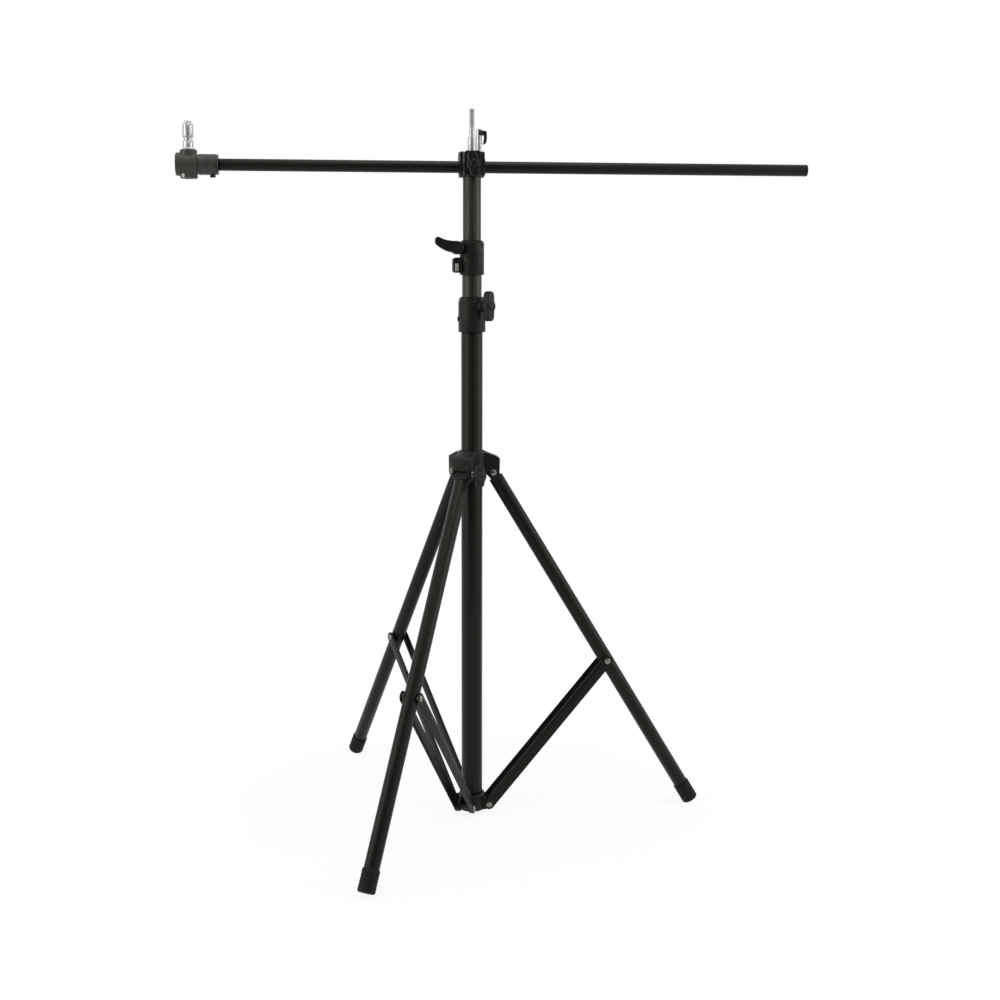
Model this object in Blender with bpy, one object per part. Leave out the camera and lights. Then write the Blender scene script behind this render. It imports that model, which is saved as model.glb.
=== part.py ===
"""Convertible boom light stand.

A three-legged stand folds by a sliding leg collar. Two tubes telescope out of its column, and a
tilting clamp on top of them carries a boom tube with a lamp spigot at one end.

The origin is the centre of the column's underside, +Z is up and the boom lies along X.
The folding linkage is shown fully spread. Every moving group hangs from an empty on its joint axis.
"""
import math

import bmesh
import bpy
from mathutils import Matrix, Vector

MM = 0.001

# Clearances between separate pieces
GAP = 0.3 * MM
TUBE_CLEARANCE = 0.4 * MM
PIN_CLEARANCE = 0.3 * MM

# How far a cutter reaches past what it cuts, and how deep a joined solid starts inside the other
OVERCUT = 2.0 * MM
ROOT = 1.0 * MM

# Bevels on turned edges
CHAMFER = 1.0 * MM
FINE_CHAMFER = 0.6 * MM

# Points closer than this are one point, and faces that bend by less than this are one face
WELD = 0.001 * MM
FLAT_ENOUGH = math.radians(0.5)
SMOOTH_BELOW = math.radians(32.0)

# Facets around the turned pieces
TUBE_STEPS = 20
LEG_STEPS = 16
PIN_STEPS = 10
BOSS_STEPS = 14

# Telescoping column
COLUMN_OD = 32.0 * MM
COLUMN_WALL = 1.0 * MM
MID_WALL = 0.8 * MM
TOP_WALL = 0.9 * MM
COLUMN_TOP_Z = 764.0 * MM
PLUG_FLANGE = 3.0 * MM
PLUG_DEPTH = 11.0 * MM
MID_LENGTH = 730.0 * MM
TOP_LENGTH = 700.0 * MM
BUSHING_FLANGE = 8.0 * MM
BUSHING_DEPTH = 14.0 * MM
BUSHING_WALL = 2.0 * MM

# Guide liners in the collars
LINER_LIP = 1.5 * MM
LINER_LIP_INSET = 1.5 * MM
LINER_LIP_CHAMFER = 0.4 * MM

# Collar on the column tube
LOWER_COLLAR_TOP_Z = 790.0 * MM
LOWER_COLLAR_HEIGHT = 50.0 * MM
LOWER_COLLAR_WALL = 3.9 * MM
LOWER_RIM_HEIGHT = 4.5 * MM
LOWER_RIM_STEP = 1.0 * MM
LOWER_KNOB_DEG = -51.0
LOWER_KNOB_Z = 778.0 * MM
LOWER_BOSS_RADIUS = 8.0 * MM
LOWER_BOSS_REACH = 25.5 * MM
LOWER_BOSS_ROOT = 1.2 * MM

# Collar on the second tube
UPPER_COLLAR_BASE_Z = 824.0 * MM
UPPER_COLLAR_HEIGHT = 48.0 * MM
UPPER_COLLAR_WALL = 3.1 * MM
UPPER_TUBE_SEAT = 27.0 * MM
UPPER_BASE_CHAMFER = 0.8 * MM
UPPER_TOP_CHAMFER = 1.5 * MM
SLIT_WIDTH = 1.4 * MM
EAR_DEPTH = 11.2 * MM
EAR_REACH = 28.6 * MM
EAR_CORNER = 3.0 * MM
EAR_ROOT = 0.8 * MM
UPPER_EAR_HEIGHT = 18.0 * MM
UPPER_EAR_DROP = 2.0 * MM
LOWER_EAR_HEIGHT = 25.0 * MM
LOWER_EAR_RISE = 3.0 * MM
EAR_BOLT_REACH = 23.7 * MM
LEVER_BOLT_RADIUS = 2.5 * MM
LEVER_BOLT_HEAD_LIP = 2.0 * MM
LEVER_BOLT_HEAD_HEIGHT = 2.5 * MM
CLAMP_BOLT_RADIUS = 2.0 * MM
CLAMP_BOLT_RISE = 10.5 * MM
CLAMP_BARREL_RADIUS = 2.6 * MM
CLAMP_BARREL_LENGTH = 11.5 * MM
CLAMP_NUT_LIP = 1.5 * MM
CLAMP_NUT_HEIGHT = 2.0 * MM
LEVER_THICKNESS = 10.0 * MM
LEVER_HUB_RADIUS = 9.5 * MM
LEVER_LENGTH = 32.5 * MM
LEVER_TIP_RISE = 14.0 * MM
LEVER_TIP_DEPTH = 5.0 * MM
LEVER_TIP_SLANT = 1.0 * MM
LEVER_TIP_CREST = 2.0 * MM
LEVER_TIP_CREST_SHIFT = 3.0 * MM
LEVER_CREST_BULGE = 1.5 * MM
LEVER_EDGE = 2.0 * MM

# Turning knobs
KNOB_WING_LENGTH = 44.0 * MM
KNOB_WING_WIDTH = 13.0 * MM
KNOB_WING_DEPTH = 11.5 * MM
KNOB_HUB_RADIUS = 9.5 * MM
KNOB_NECK_RADIUS = 6.5 * MM
KNOB_NECK_LENGTH = 3.5 * MM
KNOB_EDGE = 1.6 * MM
KNOB_CROWN = 2.2 * MM
KNOB_CROWN_STEP = 0.6 * MM
KNOB_CROWN_BEVEL = 2.0 * MM
KNOB_LOBE_HALF_DEG = 80.0
KNOB_WAIST_DEG = 8.0
SCREW_RADIUS = 2.5 * MM
LEG_KNOB_WING_LENGTH = 34.0 * MM
TILT_KNOB_WING_LENGTH = 38.0 * MM
TILT_KNOB_WING_DEG = 100.0

# Leg collar and legs
LEG_ANGLES_DEG = (0.0, 120.0, 240.0)
SPREAD_DEG = 31.07
FLOOR_GAP = 3.0 * MM
LEG_OD = 22.0 * MM
LEG_WALL = 1.0 * MM
LEG_LENGTH = 617.0 * MM
SLIDER_LINER_CLEARANCE = 0.35 * MM
SLIDER_LINER_WALL = 1.9 * MM
SLIDER_LINER_INSET = 1.0 * MM
SLIDER_WALL = 3.5 * MM
SLIDER_TOP = 32.4 * MM
SLIDER_CHAMFER = 2.6 * MM
SLIDER_BOTTOM = -9.0 * MM
EYE_RADIUS = 8.0 * MM
EYE_CLEARANCE = 0.95 * MM
EYE_NECK = 10.0 * MM
EYE_SHOULDER = 4.0 * MM
EYE_INSERT = 20.0 * MM
EYE_INSERT_WALL = 2.0 * MM
EYE_SIDE_CLEARANCE = 0.5 * MM
EAR_THICKNESS = 3.0 * MM
LUG_EAR_RADIUS = 9.5 * MM
LUG_ROOF_REACH = 10.0 * MM
LUG_ROOF_THICKNESS = 3.5 * MM
LUG_ROOF_SLOPE = 0.40
LUG_ROOF_EDGE = 2.0 * MM
LEG_KNOB_DEG = -82.0
LEG_KNOB_DROP = 1.0 * MM
LEG_BOSS_RADIUS = 7.5 * MM
LEG_BOSS_REACH = 28.0 * MM
LEG_KNOB_START = 37.7 * MM
FOOT_WALL = 1.2 * MM
FOOT_SLEEVE = 26.0 * MM
FOOT_SOLE = 6.0 * MM
FOOT_ROUND = 2.5 * MM
FOOT_FLAT = 0.6 * MM

# Struts, their pins and the spreader at the column's foot
STRUT_PIN_REACH = 345.7 * MM
SPREADER_RIVET_REACH = 25.5 * MM
SPREADER_RIVET_Z = 10.6 * MM
SPREADER_BASE_Z = 1.0 * MM
SPREADER_TOP_Z = 27.5 * MM
SPREADER_WALL = 3.2 * MM
SPREADER_EAR_RADIUS = 8.0 * MM
SPREADER_EAR_TOP_Z = 24.0 * MM
SPREADER_EAR_THICKNESS = 4.0 * MM
STRUT_WIDTH = 16.5 * MM
STRUT_THICKNESS = 2.0 * MM
STRUT_SIDE_GAP = 0.4 * MM
STRUT_PIN_RADIUS = 3.0 * MM
STRUT_PIN_SHOULDER = 5.5 * MM
RIVET_RADIUS = 2.5 * MM
RIVET_HEAD_RADIUS = 4.6 * MM
RIVET_HEAD_HEIGHT = 1.6 * MM
RIVET_HEAD_RIM = 0.8 * MM
RIVET_HEAD_FLAT_RADIUS = 0.6 * RIVET_HEAD_RADIUS

# Boom clamp
HEAD_WIDTH = 25.0 * MM
HEAD_DEPTH = 25.0 * MM
HEAD_BASE_Z = 967.8 * MM
HEAD_HEIGHT = 34.7 * MM
TILT_AXIS_RISE = 14.7 * MM
HEAD_CORNER = 4.5 * MM
HEAD_FLANGE = 2.5 * MM
HEAD_FLANGE_LIP = 0.6 * MM
HEAD_PLUG = 22.0 * MM
HEAD_PLUG_ROOT = 0.7 * MM
HEAD_DISC_STEP = 0.8 * MM
HEAD_DISC_RADIUS = 13.0 * MM
TILT_BOLT_RADIUS = 4.0 * MM
TILT_THREAD = 4.5 * MM
WASHER_THICKNESS = 1.5 * MM
STUD_BASE_RADIUS = 6.2 * MM
STUD_BASE_HEIGHT = 20.0 * MM
STUD_RADIUS = 4.0 * MM
STUD_HEIGHT = 60.5 * MM
STUD_SHANK_RADIUS = 4.0 * MM
STUD_SHANK = 8.0 * MM
BOOM_OFFSET = 31.0 * MM
SLEEVE_LENGTH = 37.0 * MM
SLEEVE_SHIFT = 2.5 * MM
SLEEVE_RADIUS = 14.2 * MM
SLEEVE_TOP = 20.5 * MM
SLEEVE_TOP_CORNER = 5.0 * MM
SLEEVE_RING_WIDTH = 6.6 * MM
SLEEVE_RING_STEP = 1.3 * MM
CLAMP_SCREW_X = 13.8 * MM
CLAMP_SCREW_RADIUS = 4.0 * MM
CLAMP_HEAD_RADIUS = 4.6 * MM
CLAMP_HEAD_HEIGHT = 33.5 * MM
CLAMP_HEAD_CHAMFER = 0.8 * MM
HANDLE_TOP = 31.0 * MM
HANDLE_HUB_HEIGHT = 7.0 * MM
HANDLE_HUB_RADIUS = 7.0 * MM
HANDLE_HUB_HALF_DEG = 94.0
HANDLE_HUB_EDGE = 0.8 * MM
HANDLE_REACH = 11.5 * MM
HANDLE_DROP = 20.0 * MM
HANDLE_THICKNESS = 3.2 * MM
HANDLE_WIDTH = 8.0 * MM
HANDLE_EDGE = 0.5 * MM
HANDLE_BEND_SHARE = 0.6
HANDLE_TIP_BEVEL = 1.0 * MM
HANDLE_TIP_OUTER = 2.0 * MM
HANDLE_TIP_WIDTH = 2.8 * MM
HANDLE_OVERLAP = 2.0 * MM

# Corners of the handle's rounded shoulder, each as a distance in from its reach and down from its top
HANDLE_SHOULDER = ((3.0 * MM, 0.5 * MM), (0.8 * MM, 2.0 * MM), (0.0 * MM, 5.0 * MM))

# Boom and lamp head
BOOM_OD = 17.5 * MM
BOOM_WALL = 1.0 * MM
BOOM_LEFT_X = -394.0 * MM
BOOM_LENGTH = 908.5 * MM
BOOM_CAP_FLANGE = 2.0 * MM
BOOM_CAP_DEPTH = 12.0 * MM
BOOM_CAP_LIP = 0.2 * MM
BOOM_LINER_WALL = 1.3 * MM
BOOM_LINER_LIP = 1.2 * MM
BOOM_LINER_LIP_RADIUS = 12.5 * MM
HEAD_SLEEVE_COVER = 25.6 * MM
HEAD_SLEEVE_LENGTH = 28.5 * MM
HEAD_SLEEVE_RADIUS = 15.0 * MM
HEAD_SLEEVE_GROOVE = 1.6 * MM
HEAD_SLEEVE_GROOVE_DEPTH = 1.3 * MM
LAMP_BODY_RADIUS = 16.7 * MM
LAMP_BODY_LENGTH = 30.7 * MM
LAMP_BODY_ROUND = 2.5 * MM
LAMP_NECK_RADIUS = 13.5 * MM
LAMP_NECK_LENGTH = 2.0 * MM
BOSS_FROM_LEFT = 18.8 * MM
BOSS_RADIUS = 12.7 * MM
BOSS_HALF_HEIGHT = 20.2 * MM
BOSS_CHAMFER = 1.2 * MM
SPIGOT_SHANK_RADIUS = 6.0 * MM
SPIGOT_SHANK = 39.0 * MM
SPIGOT_RADIUS = 8.0 * MM
SPIGOT_HEIGHT = 41.6 * MM
SPIGOT_FLANGE_RADIUS = 10.5 * MM
SPIGOT_FLANGE = 2.5 * MM
SPIGOT_FLANGE_RIM = 1.2 * MM
SPIGOT_GROOVE_RISE = 12.5 * MM
SPIGOT_GROOVE_WIDTH = 5.5 * MM
SPIGOT_GROOVE_RADIUS = 6.4 * MM
SPIGOT_TIP_RADIUS = 5.6 * MM
SPIGOT_TIP = 5.0 * MM
SET_SCREW_RADIUS = 1.8 * MM
SET_SCREW_HEAD = 2.8 * MM
SET_SCREW_HEAD_HEIGHT = 1.5 * MM
SET_SCREW_DEG = -120.0
SET_SCREW_DROP = 16.6 * MM
HEAD_SCREW_INSET = 8.6 * MM
HEAD_SCREW_RADIUS = 2.5 * MM
HEAD_SCREW_HEAD_RADIUS = 4.2 * MM
HEAD_SCREW_HEAD_HEIGHT = 3.2 * MM

# Sizes that follow from those above
COLUMN_R = COLUMN_OD / 2
COLUMN_BORE = COLUMN_R - COLUMN_WALL
MID_R = COLUMN_BORE - TUBE_CLEARANCE
MID_BORE = MID_R - MID_WALL
TOP_R = MID_BORE - TUBE_CLEARANCE
TOP_BORE = TOP_R - TOP_WALL
BOOM_R = BOOM_OD / 2
BOOM_BORE = BOOM_R - BOOM_WALL
LEG_R = LEG_OD / 2
LEG_BORE = LEG_R - LEG_WALL
FOOT_R = LEG_R + GAP + FOOT_WALL

LOWER_COLLAR_BORE = COLUMN_R + GAP
LOWER_COLLAR_R = LOWER_COLLAR_BORE + LOWER_COLLAR_WALL
UPPER_COLLAR_BORE = MID_R + GAP
UPPER_COLLAR_R = UPPER_COLLAR_BORE + UPPER_COLLAR_WALL
MID_TOP_Z = UPPER_COLLAR_BASE_Z + UPPER_TUBE_SEAT
UPPER_COLLAR_TOP_Z = UPPER_COLLAR_BASE_Z + UPPER_COLLAR_HEIGHT
TOP_TUBE_TOP_Z = HEAD_BASE_Z - HEAD_FLANGE - GAP
TILT_AXIS_Z = HEAD_BASE_Z + TILT_AXIS_RISE
HEAD_TOP_Z = HEAD_BASE_Z + HEAD_HEIGHT

SLIDER_LINER_BORE = COLUMN_R + SLIDER_LINER_CLEARANCE
SLIDER_LINER_R = SLIDER_LINER_BORE + SLIDER_LINER_WALL
SLIDER_BORE = SLIDER_LINER_R + GAP
SLIDER_R = SLIDER_BORE + SLIDER_WALL
LEG_PIVOT_R = SLIDER_R + EYE_CLEARANCE + EYE_RADIUS
EAR_INNER = LEG_R + EYE_SIDE_CLEARANCE
EAR_OUTER = EAR_INNER + EAR_THICKNESS

SPREAD = math.radians(SPREAD_DEG)
FLOOR_Z = -FLOOR_GAP
FOOT_DROP = (FOOT_R - FOOT_ROUND) * math.sin(SPREAD) + FOOT_ROUND * (1 - math.cos(SPREAD))
LEG_PIVOT_Z = FLOOR_Z - FOOT_FLAT + LEG_LENGTH * math.cos(SPREAD) + FOOT_DROP

STRUT_INNER = FOOT_R + STRUT_SIDE_GAP
STRUT_OUTER = STRUT_INNER + STRUT_THICKNESS
STRUT_DR = LEG_PIVOT_R + STRUT_PIN_REACH * math.sin(SPREAD) - SPREADER_RIVET_REACH
STRUT_DZ = LEG_PIVOT_Z - STRUT_PIN_REACH * math.cos(SPREAD) - SPREADER_RIVET_Z
STRUT_LENGTH = math.hypot(STRUT_DR, STRUT_DZ)
STRUT_LEAN = math.atan2(STRUT_DR, STRUT_DZ)

BOOM_LINER_BORE = BOOM_R + GAP
BOOM_LINER_R = BOOM_LINER_BORE + BOOM_LINER_WALL
SLEEVE_BORE = BOOM_LINER_R + GAP
WASHER_Y = HEAD_DEPTH / 2 + GAP
SLEEVE_FACE_Y = WASHER_Y + WASHER_THICKNESS + GAP
BOOM_RIGHT_X = BOOM_LEFT_X + BOOM_LENGTH
HEAD_SLEEVE_RIGHT_X = BOOM_LEFT_X + HEAD_SLEEVE_COVER
HEAD_SCREW_X = HEAD_SLEEVE_RIGHT_X - HEAD_SCREW_INSET
HEAD_SLEEVE_LEFT_X = HEAD_SLEEVE_RIGHT_X - HEAD_SLEEVE_LENGTH
LAMP_RIGHT_X = HEAD_SLEEVE_LEFT_X - GAP
LAMP_LEFT_X = LAMP_RIGHT_X - LAMP_NECK_LENGTH - LAMP_BODY_LENGTH
BOSS_X = LAMP_LEFT_X + BOSS_FROM_LEFT


def finish(name, colour, roughness, metallic):
    """A Principled material with one colour, roughness and metallic value."""
    material = bpy.data.materials.new(name)
    material.use_nodes = True
    shader = material.node_tree.nodes["Principled BSDF"]
    shader.inputs["Base Color"].default_value = (*colour, 1.0)
    shader.inputs["Roughness"].default_value = roughness
    shader.inputs["Metallic"].default_value = metallic
    return material


def frame(name, location, rotation=(0, 0, 0), parent=None):
    """An empty that stands on a joint axis and carries the pieces of one moving group."""
    empty = bpy.data.objects.new(name, None)
    empty.location = location
    empty.rotation_euler = rotation
    empty.parent = parent
    bpy.context.scene.collection.objects.link(empty)
    return empty


def piece(name, solid, material, parent=None):
    """Makes one named object from a closed bmesh."""
    bmesh.ops.recalc_face_normals(solid, faces=solid.faces)
    mesh = bpy.data.meshes.new(name)
    solid.to_mesh(mesh)
    solid.free()
    mesh.shade_smooth()
    mesh.set_sharp_from_angle(angle=SMOOTH_BELOW)
    mesh.materials.append(material)
    made = bpy.data.objects.new(name, mesh)
    made.parent = parent
    bpy.context.scene.collection.objects.link(made)
    return made


def toward(axis):
    """Turns a solid built along +Z so that it points along the given direction."""
    return Vector(axis).to_track_quat("Z", "Y").to_matrix().to_4x4()


def moved(solid, matrix):
    """The same bmesh after a transform."""
    bmesh.ops.transform(solid, matrix=matrix, verts=solid.verts)
    return solid


def turned(profile, steps=TUBE_STEPS):
    """Spins a closed profile of (radius, z) points about Z."""
    solid = bmesh.new()
    points = [solid.verts.new((radius, 0, z)) for radius, z in profile]
    edges = []
    for start, end in zip(points, points[1:] + points[:1]):
        if start.co.x > 0 or end.co.x > 0:
            edges.append(solid.edges.new((start, end)))
    bmesh.ops.spin(solid, geom=points + edges, axis=(0, 0, 1), cent=(0, 0, 0),
                   angle=math.tau, steps=steps, use_merge=True)
    bmesh.ops.remove_doubles(solid, verts=solid.verts, dist=WELD)
    bmesh.ops.dissolve_degenerate(solid, edges=solid.edges, dist=WELD)
    bmesh.ops.recalc_face_normals(solid, faces=solid.faces)
    return solid


def tube(outer, inner, low, high, steps=TUBE_STEPS):
    """A plain tube along Z."""
    return turned([(inner, low), (outer, low), (outer, high), (inner, high)], steps)


def rod(radius, low, high, steps=PIN_STEPS):
    """A plain solid rod along Z."""
    return turned([(0, low), (radius, low), (radius, high), (0, high)], steps)


def arc(centre, radius, start_deg, end_deg, count):
    """Points along a round stretch of an outline, both ends included."""
    points = []
    for index in range(count + 1):
        angle = math.radians(start_deg + (end_deg - start_deg) * index / count)
        points.append((centre[0] + radius * math.cos(angle), centre[1] + radius * math.sin(angle)))
    return points


def slab(outline, low, high, edge=0.0):
    """Extrudes an outline of (x, y) points from z=low to z=high, with its rims bevelled by edge."""
    solid = bmesh.new()
    base = solid.faces.new([solid.verts.new((x, y, low)) for x, y in outline])
    grown = bmesh.ops.extrude_face_region(solid, geom=[base])
    tops = [item for item in grown["geom"] if isinstance(item, bmesh.types.BMVert)]
    bmesh.ops.translate(solid, verts=tops, vec=(0, 0, high - low))
    if edge:
        rims = [item for item in solid.edges if item.verts[0].co.z == item.verts[1].co.z]
        bmesh.ops.bevel(solid, geom=rims, offset=edge, segments=2, profile=0.5, affect="EDGES")
    bmesh.ops.recalc_face_normals(solid, faces=solid.faces)
    return solid


# Turns a slab's outline plane: (x, y) becomes (x, z), and the slab's thickness runs along Y.
UPRIGHT = Matrix(((1, 0, 0, 0), (0, 0, 1, 0), (0, 1, 0, 0), (0, 0, 0, 1)))
# Here (x, y) becomes (y, z), and the thickness runs along X.
ACROSS = Matrix(((0, 0, 1, 0), (1, 0, 0, 0), (0, 1, 0, 0), (0, 0, 0, 1)))


def upright(outline, low, high, edge=0.0):
    """A slab whose outline lies in the XZ plane and whose thickness runs along Y."""
    return moved(slab(outline, low, high, edge), UPRIGHT)


def across(outline, low, high, edge=0.0):
    """A slab whose outline lies in the YZ plane and whose thickness runs along X."""
    return moved(slab(outline, low, high, edge), ACROSS)


def as_object(solid):
    """A scene object made from a bmesh whose faces are split into triangles, so each one is flat."""
    bmesh.ops.recalc_face_normals(solid, faces=solid.faces)
    bmesh.ops.triangulate(solid, faces=solid.faces)
    mesh = bpy.data.meshes.new("operand")
    solid.to_mesh(mesh)
    solid.free()
    made = bpy.data.objects.new("operand", mesh)
    bpy.context.scene.collection.objects.link(made)
    return made


def carved(base, *steps):
    """Joins or cuts solids in the order given, and returns the result as one bmesh."""
    result = base
    for operation, solid in steps:
        work = as_object(result)
        tool = as_object(solid)
        modifier = work.modifiers.new(operation, "BOOLEAN")
        modifier.operation = operation
        modifier.solver = "EXACT"
        modifier.object = tool
        graph = bpy.context.evaluated_depsgraph_get()
        result = bmesh.new()
        result.from_mesh(work.evaluated_get(graph).to_mesh())
        for made in (work, tool):
            mesh = made.data
            bpy.data.objects.remove(made)
            bpy.data.meshes.remove(mesh)
        bmesh.ops.remove_doubles(result, verts=result.verts, dist=WELD)
        bmesh.ops.dissolve_limit(result, angle_limit=FLAT_ENOUGH, verts=result.verts, edges=result.edges)
    return result


def around(degrees):
    """A turn about Z."""
    return Matrix.Rotation(math.radians(degrees), 4, "Z")


OUTWARD = toward((1, 0, 0))
REARWARD = toward((0, 1, 0))


def knob_solid(wing_length):
    """A T-knob along +Z: a neck with an open bore for its screw, and a bevelled two-lobed wing."""
    lobe = KNOB_WING_WIDTH / 2
    lobe_centre = wing_length / 2 - lobe
    waist_deg = math.degrees(math.asin(lobe / KNOB_HUB_RADIUS)) + KNOB_WAIST_DEG
    outline = []
    for side in (0, 180):
        outline += arc((lobe_centre * math.cos(math.radians(side)), 0), lobe, side - KNOB_LOBE_HALF_DEG,
                       side + KNOB_LOBE_HALF_DEG, 5)
        outline += arc((0, 0), KNOB_HUB_RADIUS, side + waist_deg, side + 180 - waist_deg, 4)
    top = KNOB_NECK_LENGTH + KNOB_WING_DEPTH
    wing = slab(outline, KNOB_NECK_LENGTH, top, KNOB_EDGE)
    neck_top = KNOB_NECK_LENGTH + KNOB_EDGE
    neck = turned([(0, 0), (KNOB_NECK_RADIUS - CHAMFER, 0), (KNOB_NECK_RADIUS, CHAMFER),
                   (KNOB_NECK_RADIUS, neck_top), (0, neck_top)], BOSS_STEPS)
    crown = turned([(0, top - KNOB_CROWN), (KNOB_NECK_RADIUS, top - KNOB_CROWN),
                    (KNOB_NECK_RADIUS, top + KNOB_CROWN_STEP),
                    (KNOB_NECK_RADIUS - KNOB_CROWN_BEVEL, top + KNOB_CROWN),
                    (0, top + KNOB_CROWN)], BOSS_STEPS)
    bore = rod(SCREW_RADIUS + GAP, -OVERCUT, top - KNOB_WING_DEPTH / 2)
    return carved(wing, ("UNION", neck), ("UNION", crown), ("DIFFERENCE", bore))


def knob_with_screw(knob_name, screw_name, wing_length, start, inner_end, parent, wing_deg=90.0,
                    screw_radius=SCREW_RADIUS):
    """A T-knob that points along its frame's +X from x=start, and its screw that ends at inner_end."""
    outward = OUTWARD @ Matrix.Translation((0, 0, start))
    knob = moved(knob_solid(wing_length), outward @ around(wing_deg))
    piece(knob_name, knob, PLASTIC, parent)
    tip = inner_end - start
    top = KNOB_NECK_LENGTH + KNOB_WING_DEPTH / 2 - GAP
    profile = [(0, tip), (screw_radius, tip), (screw_radius, -GAP), (SCREW_RADIUS, -GAP),
               (SCREW_RADIUS, top), (0, top)]
    piece(screw_name, moved(turned(profile, PIN_STEPS), outward), ZINC, parent)


def rivet_solid(half_span):
    """A through-rivet along Z with a low domed head beyond each end of its span."""
    head = half_span + GAP
    crown = head + RIVET_HEAD_HEIGHT
    profile = [(0, -crown), (RIVET_HEAD_FLAT_RADIUS, -crown), (RIVET_HEAD_RADIUS, -head - RIVET_HEAD_RIM),
               (RIVET_HEAD_RADIUS, -head), (RIVET_RADIUS, -head), (RIVET_RADIUS, head),
               (RIVET_HEAD_RADIUS, head), (RIVET_HEAD_RADIUS, head + RIVET_HEAD_RIM),
               (RIVET_HEAD_FLAT_RADIUS, crown), (0, crown)]
    return turned(profile, PIN_STEPS)


for leftover in list(bpy.data.objects):
    bpy.data.objects.remove(leftover)

PAINT = finish("satin_black_tube", (0.028, 0.029, 0.026), 0.34, 0.2)
CASTING = finish("black_casting", (0.020, 0.021, 0.019), 0.50, 0.1)
PLASTIC = finish("black_plastic", (0.012, 0.012, 0.011), 0.45, 0.0)
RUBBER = finish("black_rubber", (0.014, 0.014, 0.013), 0.70, 0.0)
CHROME = finish("bright_chrome", (0.80, 0.80, 0.78), 0.10, 1.0)
ZINC = finish("zinc_plated_steel", (0.62, 0.61, 0.57), 0.28, 1.0)


# Column: the outer tube with its foot plug and the spreader that the struts hang on

tube_base = PLUG_FLANGE + GAP
piece("column_tube", tube(COLUMN_R, COLUMN_BORE, tube_base, COLUMN_TOP_Z), PAINT)

plug_r = COLUMN_BORE - GAP
plug_top = PLUG_FLANGE + PLUG_DEPTH
piece("base_plug", turned([
    (0, 0), (COLUMN_R - CHAMFER, 0), (COLUMN_R, CHAMFER), (COLUMN_R, PLUG_FLANGE), (plug_r, PLUG_FLANGE),
    (plug_r, plug_top), (plug_r - BUSHING_WALL, plug_top), (plug_r - BUSHING_WALL, PLUG_FLANGE),
    (0, PLUG_FLANGE)]), PLASTIC)


def spreader():
    """The cast ring with a pair of ears for each leg's struts, bored for the rivets."""
    bore = COLUMN_R + GAP
    outer = bore + SPREADER_WALL
    ear_outer = STRUT_INNER - GAP
    ear_inner = ear_outer - SPREADER_EAR_THICKNESS
    root = math.sqrt((bore + GAP) ** 2 - ear_inner ** 2)
    outline = [(root, SPREADER_BASE_Z)]
    outline += arc((SPREADER_RIVET_REACH, SPREADER_RIVET_Z), SPREADER_EAR_RADIUS, -90, 50, 8)
    outline += [(root, SPREADER_EAR_TOP_Z)]
    steps = []
    for degrees in LEG_ANGLES_DEG:
        for low, high in ((ear_inner, ear_outer), (-ear_outer, -ear_inner)):
            steps.append(("UNION", moved(upright(outline, low, high), around(degrees))))
    for degrees in LEG_ANGLES_DEG:
        place = around(degrees) @ Matrix.Translation((SPREADER_RIVET_REACH, 0, SPREADER_RIVET_Z)) @ REARWARD
        hole = rod(RIVET_RADIUS + PIN_CLEARANCE, -STRUT_OUTER, STRUT_OUTER)
        steps.append(("DIFFERENCE", moved(hole, place)))
    ring = turned([(bore, SPREADER_BASE_Z), (outer, SPREADER_BASE_Z), (outer, SPREADER_TOP_Z - CHAMFER),
                   (outer - CHAMFER, SPREADER_TOP_Z), (bore, SPREADER_TOP_Z)])
    return carved(ring, *steps)


piece("spreader_bracket", spreader(), CASTING)
for number, degrees in enumerate(LEG_ANGLES_DEG, 1):
    place = around(degrees) @ Matrix.Translation((SPREADER_RIVET_REACH, 0, SPREADER_RIVET_Z)) @ REARWARD
    piece(f"spreader_rivet_{number}", moved(rivet_solid(STRUT_OUTER), place), ZINC)


# Lower lock collar: a turned collar with a stepped rim and a knob boss

lower_base = LOWER_COLLAR_TOP_Z - LOWER_COLLAR_HEIGHT
rim_r = LOWER_COLLAR_R - LOWER_RIM_STEP
lower_ring = turned([
    (LOWER_COLLAR_BORE, lower_base), (LOWER_COLLAR_R - CHAMFER, lower_base),
    (LOWER_COLLAR_R, lower_base + CHAMFER), (LOWER_COLLAR_R, LOWER_COLLAR_TOP_Z - LOWER_RIM_HEIGHT),
    (rim_r, LOWER_COLLAR_TOP_Z - LOWER_RIM_HEIGHT + LOWER_RIM_STEP), (rim_r, LOWER_COLLAR_TOP_Z - CHAMFER),
    (rim_r - CHAMFER, LOWER_COLLAR_TOP_Z), (LOWER_COLLAR_BORE, LOWER_COLLAR_TOP_Z)])
knob_side = Matrix.Translation((0, 0, LOWER_KNOB_Z)) @ around(LOWER_KNOB_DEG) @ OUTWARD
lower_boss = rod(LOWER_BOSS_RADIUS, LOWER_COLLAR_BORE + LOWER_BOSS_ROOT, LOWER_BOSS_REACH, BOSS_STEPS)
lower_screw_hole = rod(SCREW_RADIUS + GAP, COLUMN_BORE, LOWER_BOSS_REACH + OVERCUT)
piece("lower_lock_collar", carved(lower_ring, ("UNION", moved(lower_boss, knob_side)),
                                  ("DIFFERENCE", moved(lower_screw_hole, knob_side))), CASTING)

lower_knob = frame("lower_knob_axis", (0, 0, LOWER_KNOB_Z), (0, 0, math.radians(LOWER_KNOB_DEG)))
knob_with_screw("lower_lock_knob", "lower_lock_screw", KNOB_WING_LENGTH, LOWER_BOSS_REACH + GAP,
                LOWER_COLLAR_BORE + GAP, lower_knob)


# Leg collar: the sliding casting with a roofed clevis for each leg, its liner, rivets and knob

slider = frame("leg_collar_slide", (0, 0, LEG_PIVOT_Z))
roof_reach = LEG_PIVOT_R + LUG_ROOF_REACH


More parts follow.
